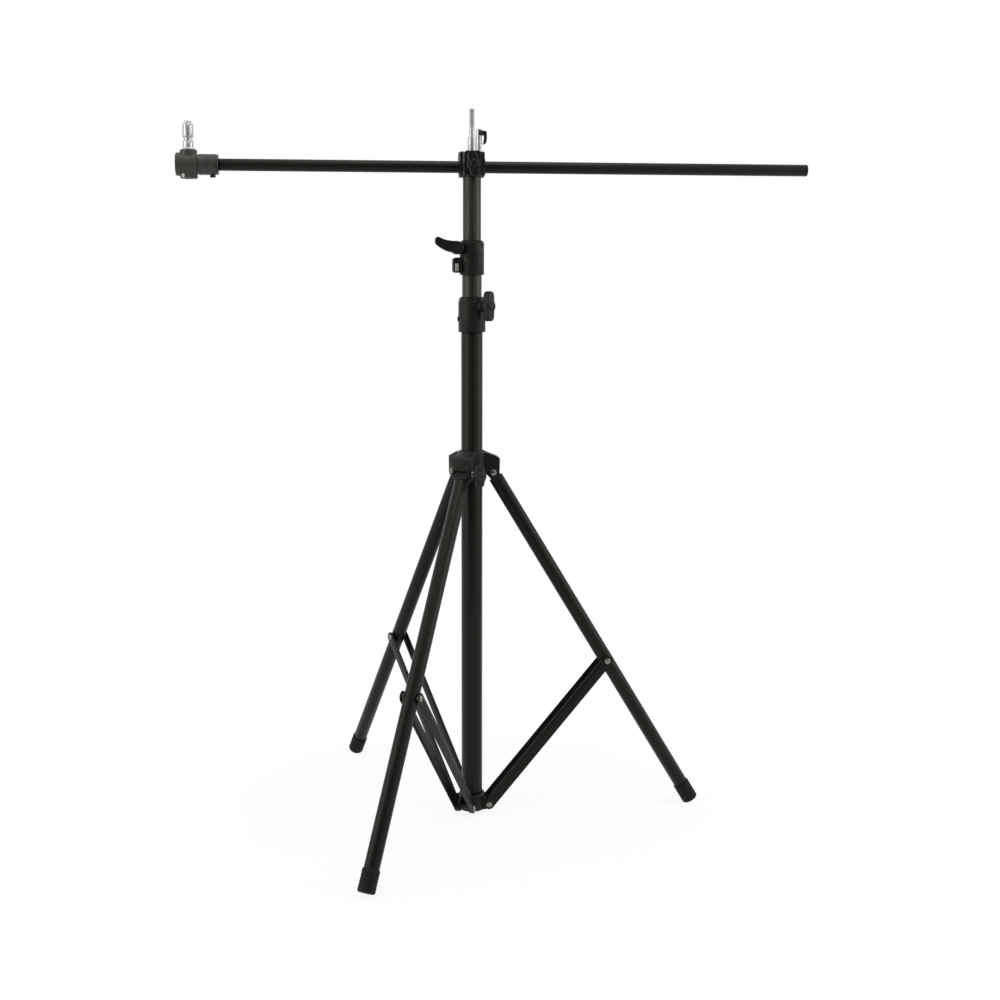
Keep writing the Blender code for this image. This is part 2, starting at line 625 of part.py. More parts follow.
def roof_z(radius):
    """Height of the clevis roof at this distance from the column axis."""
    return SLIDER_TOP - LUG_ROOF_SLOPE * (radius - COLUMN_R)


def lug():
    """One clevis before its slot is cut: a roof that slopes outwards over two round-ended ears."""
    root = math.sqrt((SLIDER_BORE + GAP) ** 2 - EAR_INNER ** 2)
    inner_roof = roof_z(SLIDER_R - ROOT)
    outline = [(root, inner_roof), (SLIDER_R - ROOT, inner_roof)]
    outline += [(roof_reach - LUG_ROOF_EDGE, roof_z(roof_reach - LUG_ROOF_EDGE)),
                (roof_reach, roof_z(roof_reach) - LUG_ROOF_EDGE)]
    outline += arc((LEG_PIVOT_R, 0), LUG_EAR_RADIUS, 0, -180, 10)
    outline += [(root, 0)]
    return upright(outline, -EAR_OUTER, EAR_OUTER)


def slot():
    """The space that the leg's eye swings in."""
    inner = SLIDER_R + GAP
    outer = roof_reach + OVERCUT
    low = -LUG_EAR_RADIUS - OVERCUT
    outline = [(inner, low), (outer, low), (outer, roof_z(outer) - LUG_ROOF_THICKNESS),
               (inner, roof_z(inner) - LUG_ROOF_THICKNESS)]
    return upright(outline, -EAR_INNER, EAR_INNER)


def leg_collar_solid():
    """Joins the lugs and the knob boss to a plug, then cuts the bore, the slots and the holes."""
    body = turned([(0, SLIDER_BOTTOM), (SLIDER_R - CHAMFER, SLIDER_BOTTOM),
                   (SLIDER_R, SLIDER_BOTTOM + CHAMFER), (SLIDER_R, SLIDER_TOP - SLIDER_CHAMFER),
                   (SLIDER_R - SLIDER_CHAMFER, SLIDER_TOP), (0, SLIDER_TOP)])
    knob_side = Matrix.Translation((0, 0, -LEG_KNOB_DROP)) @ around(LEG_KNOB_DEG) @ OUTWARD
    steps = [("UNION", moved(lug(), around(degrees))) for degrees in LEG_ANGLES_DEG]
    boss = rod(LEG_BOSS_RADIUS, COLUMN_R, LEG_BOSS_REACH, BOSS_STEPS)
    steps.append(("UNION", moved(boss, knob_side)))
    steps.append(("DIFFERENCE", rod(SLIDER_BORE, SLIDER_BOTTOM - OVERCUT, SLIDER_TOP + OVERCUT, TUBE_STEPS)))
    for degrees in LEG_ANGLES_DEG:
        steps.append(("DIFFERENCE", moved(slot(), around(degrees))))
        place = around(degrees) @ Matrix.Translation((LEG_PIVOT_R, 0, 0)) @ REARWARD
        hole = rod(RIVET_RADIUS + PIN_CLEARANCE, -EAR_OUTER - OVERCUT, EAR_OUTER + OVERCUT)
        steps.append(("DIFFERENCE", moved(hole, place)))
    screw_hole = rod(SCREW_RADIUS + GAP, COLUMN_R, LEG_BOSS_REACH + OVERCUT)
    steps.append(("DIFFERENCE", moved(screw_hole, knob_side)))
    return carved(body, *steps)


piece("leg_collar", leg_collar_solid(), CASTING, slider)
piece("leg_collar_liner", tube(SLIDER_LINER_R, SLIDER_LINER_BORE, SLIDER_BOTTOM + SLIDER_LINER_INSET,
                               SLIDER_TOP - SLIDER_LINER_INSET), PLASTIC, slider)
for number, degrees in enumerate(LEG_ANGLES_DEG, 1):
    place = around(degrees) @ Matrix.Translation((LEG_PIVOT_R, 0, 0)) @ REARWARD
    piece(f"leg_pivot_rivet_{number}", moved(rivet_solid(EAR_OUTER), place), ZINC, slider)

leg_knob = frame("leg_knob_axis", (0, 0, -LEG_KNOB_DROP), (0, 0, math.radians(LEG_KNOB_DEG)), slider)
knob_with_screw("leg_lock_knob", "leg_lock_screw", LEG_KNOB_WING_LENGTH, LEG_KNOB_START,
                SLIDER_LINER_R + 2 * GAP, leg_knob)


# Legs: in each leg's frame the pivot is the origin, the tube runs down -Z and +X faces outwards

def leg_tube():
    """The tube with the cross hole for the strut pin."""
    low = -(LEG_LENGTH - FOOT_SOLE - GAP)
    shell = tube(LEG_R, LEG_BORE, low, -(EYE_NECK + EYE_SHOULDER + GAP), LEG_STEPS)
    hole = rod(STRUT_PIN_RADIUS + PIN_CLEARANCE, -LEG_OD, LEG_OD)
    place = Matrix.Translation((0, 0, -STRUT_PIN_REACH)) @ REARWARD
    return carved(shell, ("DIFFERENCE", moved(hole, place)))


def leg_top_fitting():
    """The eye, its neck, the shoulder on the tube's end and the hollow insert inside the tube."""
    half_width = EAR_INNER - GAP
    shoulder_low = -(EYE_NECK + EYE_SHOULDER)
    outline = arc((0, 0), EYE_RADIUS, 0, 180, 12)
    outline += [(-EYE_RADIUS, -EYE_NECK - ROOT), (EYE_RADIUS, -EYE_NECK - ROOT)]
    eye = upright(outline, -half_width, half_width)
    insert_r = LEG_BORE - GAP
    insert_low = shoulder_low - EYE_INSERT
    hollow_r = insert_r - EYE_INSERT_WALL
    hollow_top = shoulder_low + ROOT
    insert = turned([(0, hollow_top), (hollow_r, hollow_top), (hollow_r, insert_low), (insert_r, insert_low),
                     (insert_r, shoulder_low), (LEG_R, shoulder_low), (LEG_R, -EYE_NECK - CHAMFER),
                     (LEG_R - CHAMFER, -EYE_NECK), (0, -EYE_NECK)], LEG_STEPS)
    bore = rod(RIVET_RADIUS + PIN_CLEARANCE, -half_width - OVERCUT, half_width + OVERCUT)
    return carved(insert, ("UNION", eye), ("DIFFERENCE", moved(bore, REARWARD)))


def leg_foot():
    """A cup over the tube's end with a rounded sole, cut flat where it meets the floor."""
    end = -LEG_LENGTH
    rim = end + FOOT_SOLE + FOOT_SLEEVE
    bore = LEG_R + GAP
    profile = [(0, end)] + arc((FOOT_R - FOOT_ROUND, end + FOOT_ROUND), FOOT_ROUND, -90, 0, 4)
    profile += [(FOOT_R, rim - FINE_CHAMFER), (FOOT_R - FINE_CHAMFER, rim), (bore, rim),
                (bore, end + FOOT_SOLE), (0, end + FOOT_SOLE)]
    cup = turned(profile, LEG_STEPS)
    up = Vector((math.sin(SPREAD), 0, math.cos(SPREAD)))
    bmesh.ops.bisect_plane(cup, geom=cup.verts[:] + cup.edges[:] + cup.faces[:], dist=WELD,
                           plane_co=up * (FLOOR_Z - LEG_PIVOT_Z), plane_no=up, clear_inner=True)
    bmesh.ops.holes_fill(cup, edges=[edge for edge in cup.edges if edge.is_boundary], sides=0)
    return cup


def strut_pin():
    """A pin across the leg tube with a spacer shoulder at each side, shorter than the bars' gap."""
    end = STRUT_INNER - GAP
    seat = LEG_R + GAP
    return turned([(0, -end), (STRUT_PIN_SHOULDER, -end), (STRUT_PIN_SHOULDER, -seat),
                   (STRUT_PIN_RADIUS, -seat), (STRUT_PIN_RADIUS, seat), (STRUT_PIN_SHOULDER, seat),
                   (STRUT_PIN_SHOULDER, end), (0, end)], PIN_STEPS)


def strut_bar():
    """A flat bar with round ends, the rivet hole at its origin and the upper rivet's head on it."""
    half = STRUT_WIDTH / 2
    outline = arc((0, 0), half, 180, 360, 8) + arc((0, STRUT_LENGTH), half, 0, 180, 8)
    hole = rod(RIVET_RADIUS + PIN_CLEARANCE, STRUT_INNER - OVERCUT, STRUT_OUTER + OVERCUT)
    middle = STRUT_INNER + STRUT_THICKNESS / 2
    crown = STRUT_OUTER + RIVET_HEAD_HEIGHT
    head = turned([(0, middle), (RIVET_HEAD_RADIUS, middle), (RIVET_HEAD_RADIUS, STRUT_OUTER + RIVET_HEAD_RIM),
                   (RIVET_HEAD_FLAT_RADIUS, crown), (0, crown)], PIN_STEPS)
    at_top = Matrix.Translation((0, 0, STRUT_LENGTH)) @ REARWARD
    return carved(upright(outline, STRUT_INNER, STRUT_OUTER), ("DIFFERENCE", moved(hole, REARWARD)),
                  ("UNION", moved(head, at_top)))


for number, degrees in enumerate(LEG_ANGLES_DEG, 1):
    azimuth = math.radians(degrees)
    pivot = (LEG_PIVOT_R * math.cos(azimuth), LEG_PIVOT_R * math.sin(azimuth), 0)
    leg = frame(f"leg_{number}_pivot", pivot, (0, -SPREAD, azimuth), slider)
    piece(f"leg_tube_{number}", leg_tube(), PAINT, leg)
    piece(f"leg_top_fitting_{number}", leg_top_fitting(), CASTING, leg)
    piece(f"leg_foot_{number}", leg_foot(), RUBBER, leg)
    pin = moved(strut_pin(), Matrix.Translation((0, 0, -STRUT_PIN_REACH)) @ REARWARD)
    piece(f"strut_pin_{number}", pin, ZINC, leg)

    rivet = (SPREADER_RIVET_REACH * math.cos(azimuth), SPREADER_RIVET_REACH * math.sin(azimuth),
             SPREADER_RIVET_Z)
    strut = frame(f"strut_{number}_pivot", rivet, (0, STRUT_LEAN, azimuth))
    piece(f"strut_bar_{number}_a", strut_bar(), PAINT, strut)
    piece(f"strut_bar_{number}_b", moved(strut_bar(), around(180)), PAINT, strut)


# Second tube: its guide liner, the tube, its end bushing and the upper lock collar

def guide_liner(bore, outer, low, seat, lip_r):
    """A thin bush that ends in a lip above the collar it sits in."""
    lip = seat + GAP
    top = lip + LINER_LIP
    return turned([(bore, low), (outer, low), (outer, lip), (lip_r, lip), (lip_r, top - LINER_LIP_CHAMFER),
                   (lip_r - LINER_LIP_CHAMFER, top), (bore, top)])


def end_bushing(slide_r, plug_r, tube_end):
    """A flange that slides in the larger tube, on a hollow plug inside the smaller one."""
    low = tube_end - GAP - BUSHING_FLANGE
    core = plug_r - BUSHING_WALL
    shoulder = tube_end - GAP
    top = tube_end + BUSHING_DEPTH
    return turned([(core, low), (slide_r - CHAMFER, low), (slide_r, low + CHAMFER), (slide_r, shoulder),
                   (plug_r, shoulder), (plug_r, top), (core, top)])


mid_swivel = frame("mid_swivel", (0, 0, 0))
piece("mid_liner", guide_liner(MID_R + GAP, LOWER_COLLAR_BORE - GAP, COLUMN_TOP_Z + GAP, LOWER_COLLAR_TOP_Z,
                               rim_r - LINER_LIP_INSET), PLASTIC, mid_swivel)

mid_slide = frame("mid_slide", (0, 0, 0), parent=mid_swivel)
mid_base = MID_TOP_Z - MID_LENGTH
piece("mid_tube", tube(MID_R, MID_BORE, mid_base, MID_TOP_Z), PAINT, mid_slide)
piece("mid_end_bushing", end_bushing(COLUMN_BORE - GAP, MID_BORE - GAP, mid_base), PLASTIC, mid_slide)

lever_z = UPPER_COLLAR_TOP_Z - UPPER_EAR_HEIGHT / 2
clamp_z = UPPER_COLLAR_BASE_Z + CLAMP_BOLT_RISE
ear_y = EAR_DEPTH + SLIT_WIDTH / 2


def ear_block(low, high):
    """Both ears of one bolt before the slit parts them."""
    corner_x = -EAR_REACH + EAR_CORNER
    outline = [(-UPPER_COLLAR_BORE - EAR_ROOT, low)]
    outline += arc((corner_x, low + EAR_CORNER), EAR_CORNER, 270, 180, 3)
    outline += arc((corner_x, high - EAR_CORNER), EAR_CORNER, 180, 90, 3)
    outline += [(-UPPER_COLLAR_BORE - EAR_ROOT, high)]
    return upright(outline, -ear_y, ear_y)


def upper_collar_solid():
    """A ring with two pairs of ears on the -X side, slit through and bored for both bolts."""
    ring = turned([
        (UPPER_COLLAR_BORE, UPPER_COLLAR_BASE_Z), (UPPER_COLLAR_R - UPPER_BASE_CHAMFER, UPPER_COLLAR_BASE_Z),
        (UPPER_COLLAR_R, UPPER_COLLAR_BASE_Z + UPPER_BASE_CHAMFER),
        (UPPER_COLLAR_R, UPPER_COLLAR_TOP_Z - UPPER_TOP_CHAMFER),
        (UPPER_COLLAR_R - UPPER_TOP_CHAMFER, UPPER_COLLAR_TOP_Z), (UPPER_COLLAR_BORE, UPPER_COLLAR_TOP_Z)])
    low = UPPER_COLLAR_BASE_Z - OVERCUT
    high = UPPER_COLLAR_TOP_Z + OVERCUT
    slit_outline = [(-EAR_REACH - OVERCUT, low), (-MID_BORE, low), (-MID_BORE, high),
                    (-EAR_REACH - OVERCUT, high)]
    lever_hole = moved(rod(LEVER_BOLT_RADIUS + PIN_CLEARANCE, -EAR_REACH, EAR_REACH),
                       Matrix.Translation((-EAR_BOLT_REACH, 0, lever_z)) @ REARWARD)
    clamp_hole = moved(rod(CLAMP_BOLT_RADIUS + PIN_CLEARANCE, -EAR_REACH, EAR_REACH),
                       Matrix.Translation((-EAR_BOLT_REACH, 0, clamp_z)) @ REARWARD)
    return carved(
        ring,
        ("UNION", ear_block(UPPER_COLLAR_BASE_Z + LOWER_EAR_RISE, UPPER_COLLAR_BASE_Z + LOWER_EAR_HEIGHT)),
        ("UNION", ear_block(UPPER_COLLAR_TOP_Z - UPPER_EAR_HEIGHT, UPPER_COLLAR_TOP_Z - UPPER_EAR_DROP)),
        ("DIFFERENCE", upright(slit_outline, -SLIT_WIDTH / 2, SLIT_WIDTH / 2)),
        ("DIFFERENCE", lever_hole), ("DIFFERENCE", clamp_hole))


piece("upper_lock_collar", upper_collar_solid(), CASTING, mid_slide)

bolt_seat = ear_y + GAP
barrel_y = -bolt_seat - CLAMP_BARREL_RADIUS
nut_r = CLAMP_BOLT_RADIUS + CLAMP_NUT_LIP
nut_end = bolt_seat + CLAMP_NUT_HEIGHT
clamp_bolt = turned([(0, barrel_y), (CLAMP_BOLT_RADIUS, barrel_y), (CLAMP_BOLT_RADIUS, bolt_seat),
                     (nut_r, bolt_seat), (nut_r, nut_end), (0, nut_end)], PIN_STEPS)
barrel = rod(CLAMP_BARREL_RADIUS, -CLAMP_BARREL_LENGTH / 2, CLAMP_BARREL_LENGTH / 2)
clamp_bolt = carved(moved(clamp_bolt, REARWARD),
                    ("UNION", moved(barrel, Matrix.Translation((0, barrel_y, 0)))))
clamp_place = Matrix.Translation((-EAR_BOLT_REACH, 0, clamp_z))
piece("upper_clamp_bolt", moved(clamp_bolt, clamp_place), ZINC, mid_slide)


def bezier(start, first, second, end, count):
    """Points along a cubic curve, without its start point."""
    points = []
    for index in range(1, count + 1):
        t = index / count
        weights = ((1 - t) ** 3, 3 * t * (1 - t) ** 2, 3 * t * t * (1 - t), t ** 3)
        points.append(tuple(sum(w * p[axis] for w, p in zip(weights, (start, first, second, end)))
                            for axis in (0, 1)))
    return points


def lever_solid():
    """A wing lever: a round hub and an arm that rises to an upturned tip, with a blind bolt bore."""
    hub = arc((0, 0), LEVER_HUB_RADIUS, 90, -130, 10)
    tip_low = (-LEVER_LENGTH + LEVER_TIP_SLANT, LEVER_TIP_RISE - LEVER_TIP_DEPTH)
    tip = (-LEVER_LENGTH, LEVER_TIP_RISE)
    tip_top = (-LEVER_LENGTH + LEVER_TIP_CREST_SHIFT, LEVER_TIP_RISE + LEVER_TIP_CREST)
    under = bezier(hub[-1], (-0.45 * LEVER_LENGTH, -0.20 * LEVER_LENGTH),
                   (-0.75 * LEVER_LENGTH, 0.05 * LEVER_LENGTH), tip_low, 5)
    over = bezier(tip_top, (-0.75 * LEVER_LENGTH, LEVER_HUB_RADIUS + LEVER_CREST_BULGE),
                  (-0.5 * LEVER_LENGTH, LEVER_HUB_RADIUS), hub[0], 5)
    back = -bolt_seat
    front = back - LEVER_THICKNESS
    wing = upright(hub + under + [tip, tip_top] + over[:-1], front, back, LEVER_EDGE)
    bore = rod(LEVER_BOLT_RADIUS + PIN_CLEARANCE, (front + back) / 2, 0)
    return carved(wing, ("DIFFERENCE", moved(bore, REARWARD)))


lever = frame("upper_lever_axis", (-EAR_BOLT_REACH, 0, lever_z), parent=mid_slide)
piece("upper_lock_lever", lever_solid(), PLASTIC, lever)
bolt_inner = -bolt_seat - LEVER_THICKNESS / 2 + GAP
bolt_head_r = LEVER_BOLT_RADIUS + LEVER_BOLT_HEAD_LIP
bolt_head_end = bolt_seat + LEVER_BOLT_HEAD_HEIGHT
piece("upper_lever_bolt", moved(turned([
    (0, bolt_inner), (LEVER_BOLT_RADIUS, bolt_inner), (LEVER_BOLT_RADIUS, bolt_seat),
    (bolt_head_r, bolt_seat), (bolt_head_r, bolt_head_end), (0, bolt_head_end)], PIN_STEPS), REARWARD),
    ZINC, lever)


# Third tube: its guide liner, the tube, its end bushing and the tilt head plugged into its top

top_swivel = frame("top_swivel", (0, 0, 0), parent=mid_slide)
piece("top_liner", guide_liner(TOP_R + GAP, UPPER_COLLAR_BORE - GAP, MID_TOP_Z + GAP, UPPER_COLLAR_TOP_Z,
                               UPPER_COLLAR_R - LINER_LIP_INSET), PLASTIC, top_swivel)

top_slide = frame("top_slide", (0, 0, 0), parent=top_swivel)
top_base = TOP_TUBE_TOP_Z - TOP_LENGTH
piece("top_tube", tube(TOP_R, TOP_BORE, top_base, TOP_TUBE_TOP_Z), PAINT, top_slide)
piece("top_end_bushing", end_bushing(MID_BORE - GAP, TOP_BORE - GAP, top_base), PLASTIC, top_slide)


def tilt_head_solid():
    """A block with rounded shoulders and a round tilt boss, on a flange and a plug for the tube."""
    half = HEAD_WIDTH / 2
    outline = [(-half, HEAD_BASE_Z), (half, HEAD_BASE_Z)]
    outline += arc((half - HEAD_CORNER, HEAD_TOP_Z - HEAD_CORNER), HEAD_CORNER, 0, 90, 4)
    outline += arc((-half + HEAD_CORNER, HEAD_TOP_Z - HEAD_CORNER), HEAD_CORNER, 90, 180, 4)
    face = HEAD_DEPTH / 2
    block = upright(outline, -face + HEAD_DISC_STEP, face - HEAD_DISC_STEP)
    flange_low = HEAD_BASE_Z - HEAD_FLANGE
    plug_low = flange_low - HEAD_PLUG
    flange_r = TOP_R + HEAD_FLANGE_LIP
    plug_top = HEAD_BASE_Z + HEAD_PLUG_ROOT
    plug = turned([(0, plug_low), (TOP_BORE - GAP - CHAMFER, plug_low), (TOP_BORE - GAP, plug_low + CHAMFER),
                   (TOP_BORE - GAP, flange_low), (flange_r, flange_low), (flange_r, plug_top), (0, plug_top)])
    axis = Matrix.Translation((0, 0, TILT_AXIS_Z)) @ REARWARD
    disc = moved(rod(HEAD_DISC_RADIUS, -face, face, BOSS_STEPS), axis)
    bolt_hole = moved(rod(TILT_BOLT_RADIUS + PIN_CLEARANCE, -HEAD_DEPTH, HEAD_DEPTH), axis)
    stud_hole = rod(STUD_SHANK_RADIUS + GAP, HEAD_TOP_Z - STUD_SHANK - GAP, HEAD_TOP_Z + OVERCUT)
    return carved(block, ("UNION", plug), ("UNION", disc), ("DIFFERENCE", bolt_hole),
                  ("DIFFERENCE", stud_hole))


piece("tilt_head", tilt_head_solid(), CASTING, top_slide)
stud = turned([(0, -STUD_SHANK), (STUD_SHANK_RADIUS, -STUD_SHANK), (STUD_SHANK_RADIUS, GAP),
               (STUD_BASE_RADIUS, GAP), (STUD_BASE_RADIUS, STUD_BASE_HEIGHT - CHAMFER),
               (STUD_BASE_RADIUS - CHAMFER, STUD_BASE_HEIGHT), (STUD_RADIUS, STUD_BASE_HEIGHT),
               (STUD_RADIUS, STUD_HEIGHT - CHAMFER), (STUD_RADIUS - CHAMFER, STUD_HEIGHT),
               (0, STUD_HEIGHT)], BOSS_STEPS)
piece("light_stud", moved(stud, Matrix.Translation((0, 0, HEAD_TOP_Z))), CHROME, top_slide)
washer = tube(HEAD_DISC_RADIUS, TILT_BOLT_RADIUS + PIN_CLEARANCE, WASHER_Y, WASHER_Y + WASHER_THICKNESS,
              BOSS_STEPS)
piece("tilt_washer", moved(washer, Matrix.Translation((0, 0, TILT_AXIS_Z)) @ REARWARD), RUBBER, top_slide)

tilt_knob = frame("tilt_knob_axis", (0, 0, TILT_AXIS_Z), (0, 0, math.radians(-90)), top_slide)
knob_with_screw("tilt_lock_knob", "tilt_bolt", TILT_KNOB_WING_LENGTH, HEAD_DEPTH / 2 + GAP,
                -SLEEVE_FACE_Y - TILT_THREAD + GAP, tilt_knob, TILT_KNOB_WING_DEG, TILT_BOLT_RADIUS)


# Boom sleeve: it tilts behind the head; in this frame Y is the tilt axis and the boom lies along X

tilt = frame("tilt_axis", (0, 0, TILT_AXIS_Z), parent=top_slide)
boom_line = Matrix.Translation((0, BOOM_OFFSET, 0)) @ OUTWARD
ring_top = SLEEVE_TOP + SLEEVE_RING_STEP
sleeve_left = SLEEVE_SHIFT - SLEEVE_LENGTH / 2
sleeve_right = SLEEVE_SHIFT + SLEEVE_LENGTH / 2


def sleeve_outline(radius, top):
    """A round-bottomed section about the boom with a flat top between rounded corners."""
    corner = SLEEVE_TOP_CORNER
    outline = arc((BOOM_OFFSET, 0), radius, 180, 360, 16)
    outline += arc((BOOM_OFFSET + radius - corner, top - corner), corner, 0, 90, 4)
    outline += arc((BOOM_OFFSET - radius + corner, top - corner), corner, 90, 180, 4)
    return outline


def boom_sleeve_solid():
    """The waisted casting with a ring at each end, a tilt boss, the boom's bore and two screw holes."""
    waist = across(sleeve_outline(SLEEVE_RADIUS, SLEEVE_TOP), sleeve_left + ROOT, sleeve_right - ROOT)
    ring = sleeve_outline(SLEEVE_RADIUS + SLEEVE_RING_STEP, ring_top)
    boss = rod(HEAD_DISC_RADIUS, SLEEVE_FACE_Y, BOOM_OFFSET - SLEEVE_BORE - ROOT, BOSS_STEPS)
    bore = rod(SLEEVE_BORE, -SLEEVE_LENGTH, SLEEVE_LENGTH, TUBE_STEPS)
    bolt_hole = rod(TILT_BOLT_RADIUS + PIN_CLEARANCE, SLEEVE_FACE_Y - OVERCUT, SLEEVE_FACE_Y + TILT_THREAD)
    screw_hole = rod(CLAMP_SCREW_RADIUS + PIN_CLEARANCE, 0, ring_top + OVERCUT)
    return carved(
        waist,
        ("UNION", across(ring, sleeve_left, sleeve_left + SLEEVE_RING_WIDTH)),
        ("UNION", across(ring, sleeve_right - SLEEVE_RING_WIDTH, sleeve_right)),
        ("UNION", moved(boss, REARWARD)),
        ("DIFFERENCE", moved(bore, boom_line)),
        ("DIFFERENCE", moved(bolt_hole, REARWARD)),
        ("DIFFERENCE", moved(screw_hole, Matrix.Translation((CLAMP_SCREW_X, BOOM_OFFSET, 0)))))


piece("boom_sleeve", boom_sleeve_solid(), CASTING, tilt)

clamp = frame("boom_lock_axis", (CLAMP_SCREW_X, BOOM_OFFSET, 0), parent=tilt)
head_low = ring_top + GAP
clamp_top = head_low + CLAMP_HEAD_HEIGHT
piece("boom_lock_screw", turned([
    (0, BOOM_LINER_R + GAP), (CLAMP_SCREW_RADIUS, BOOM_LINER_R + GAP), (CLAMP_SCREW_RADIUS, head_low),
    (CLAMP_HEAD_RADIUS, head_low), (CLAMP_HEAD_RADIUS, clamp_top - CLAMP_HEAD_CHAMFER),
    (CLAMP_HEAD_RADIUS - CLAMP_HEAD_CHAMFER, clamp_top), (0, clamp_top)], BOSS_STEPS), CHROME, clamp)


def handle_solid():
    """A half-round hub clipped on the screw's head and an arm that hooks outwards and down."""
    top = head_low + HANDLE_TOP
    hub_low = top - HANDLE_HUB_HEIGHT
    hub = slab(arc((0, 0), HANDLE_HUB_RADIUS, -HANDLE_HUB_HALF_DEG, HANDLE_HUB_HALF_DEG, 10), hub_low, top,
               HANDLE_HUB_EDGE)
    inner = HANDLE_REACH - HANDLE_THICKNESS
    tip_x = HANDLE_REACH - HANDLE_TIP_OUTER
    bend = top - HANDLE_BEND_SHARE * HANDLE_DROP
    foot = top - HANDLE_DROP
    root = HANDLE_HUB_RADIUS - HANDLE_OVERLAP
    outline = [(HANDLE_REACH - inward, top - down) for inward, down in HANDLE_SHOULDER]
    outline += [(HANDLE_REACH, bend), (tip_x, foot + HANDLE_TIP_BEVEL), (tip_x - HANDLE_TIP_BEVEL, foot),
                (tip_x - HANDLE_TIP_WIDTH, foot + HANDLE_TIP_BEVEL), (inner, bend), (inner, hub_low),
                (root, hub_low + FINE_CHAMFER), (root, top - HANDLE_EDGE)]
    arm = upright(outline, -HANDLE_WIDTH / 2, HANDLE_WIDTH / 2, HANDLE_EDGE)
    bore = rod(CLAMP_HEAD_RADIUS + GAP, foot, top + OVERCUT, BOSS_STEPS)
    return carved(hub, ("UNION", arm), ("DIFFERENCE", bore))


piece("boom_lock_handle", handle_solid(), PLASTIC, clamp)

boom_roll = frame("boom_roll", (0, BOOM_OFFSET, 0), parent=tilt)
lip_x = sleeve_right + GAP
piece("boom_liner", moved(turned([
    (BOOM_LINER_BORE, sleeve_left), (BOOM_LINER_R, sleeve_left), (BOOM_LINER_R, lip_x),
    (BOOM_LINER_LIP_RADIUS, lip_x), (BOOM_LINER_LIP_RADIUS, lip_x + BOOM_LINER_LIP),
    (BOOM_LINER_BORE, lip_x + BOOM_LINER_LIP)], LEG_STEPS), OUTWARD), PLASTIC, boom_roll)


# Boom: the tube and its end cap slide together; the lamp head turns on the other end

boom_slide = frame("boom_slide", (0, 0, 0), parent=boom_roll)
boom_shell = tube(BOOM_R, BOOM_BORE, BOOM_LEFT_X, BOOM_RIGHT_X, LEG_STEPS)
piece("boom_tube", moved(boom_shell, OUTWARD), PAINT, boom_slide)
cap_face = BOOM_RIGHT_X + GAP
cap_end = cap_face + BOOM_CAP_FLANGE
cap_r = BOOM_R + BOOM_CAP_LIP
cap_low = BOOM_RIGHT_X - BOOM_CAP_DEPTH
piece("boom_end_cap", moved(turned([
    (0, cap_low), (BOOM_BORE - GAP, cap_low), (BOOM_BORE - GAP, cap_face), (cap_r, cap_face),
    (cap_r, cap_end - FINE_CHAMFER), (cap_r - FINE_CHAMFER, cap_end), (0, cap_end)], LEG_STEPS), OUTWARD),
    PLASTIC, boom_slide)

lamp = frame("lamp_head_roll", (0, 0, 0), parent=boom_slide)
groove_right = HEAD_SLEEVE_RIGHT_X - HEAD_SLEEVE_GROOVE
groove_left = groove_right - HEAD_SLEEVE_GROOVE
groove_r = HEAD_SLEEVE_RADIUS - HEAD_SLEEVE_GROOVE_DEPTH
head_sleeve = turned([
    (BOOM_R + GAP, HEAD_SLEEVE_LEFT_X), (HEAD_SLEEVE_RADIUS, HEAD_SLEEVE_LEFT_X),
    (HEAD_SLEEVE_RADIUS, groove_left), (groove_r, groove_left), (groove_r, groove_right),
    (HEAD_SLEEVE_RADIUS, groove_right), (HEAD_SLEEVE_RADIUS, HEAD_SLEEVE_RIGHT_X - FINE_CHAMFER),
    (HEAD_SLEEVE_RADIUS - FINE_CHAMFER, HEAD_SLEEVE_RIGHT_X), (BOOM_R + GAP, HEAD_SLEEVE_RIGHT_X)])
below = Matrix.Translation((HEAD_SCREW_X, 0, 0)) @ toward((0, 0, -1))
screw_hole = moved(rod(HEAD_SCREW_RADIUS + PIN_CLEARANCE, 0, HEAD_SLEEVE_RADIUS + OVERCUT), below)
piece("head_sleeve", carved(moved(head_sleeve, OUTWARD), ("DIFFERENCE", screw_hole)), CASTING, lamp)


SCREW_IN_BOSS = Matrix.Translation((0, 0, -SET_SCREW_DROP)) @ around(SET_SCREW_DEG) @ OUTWARD


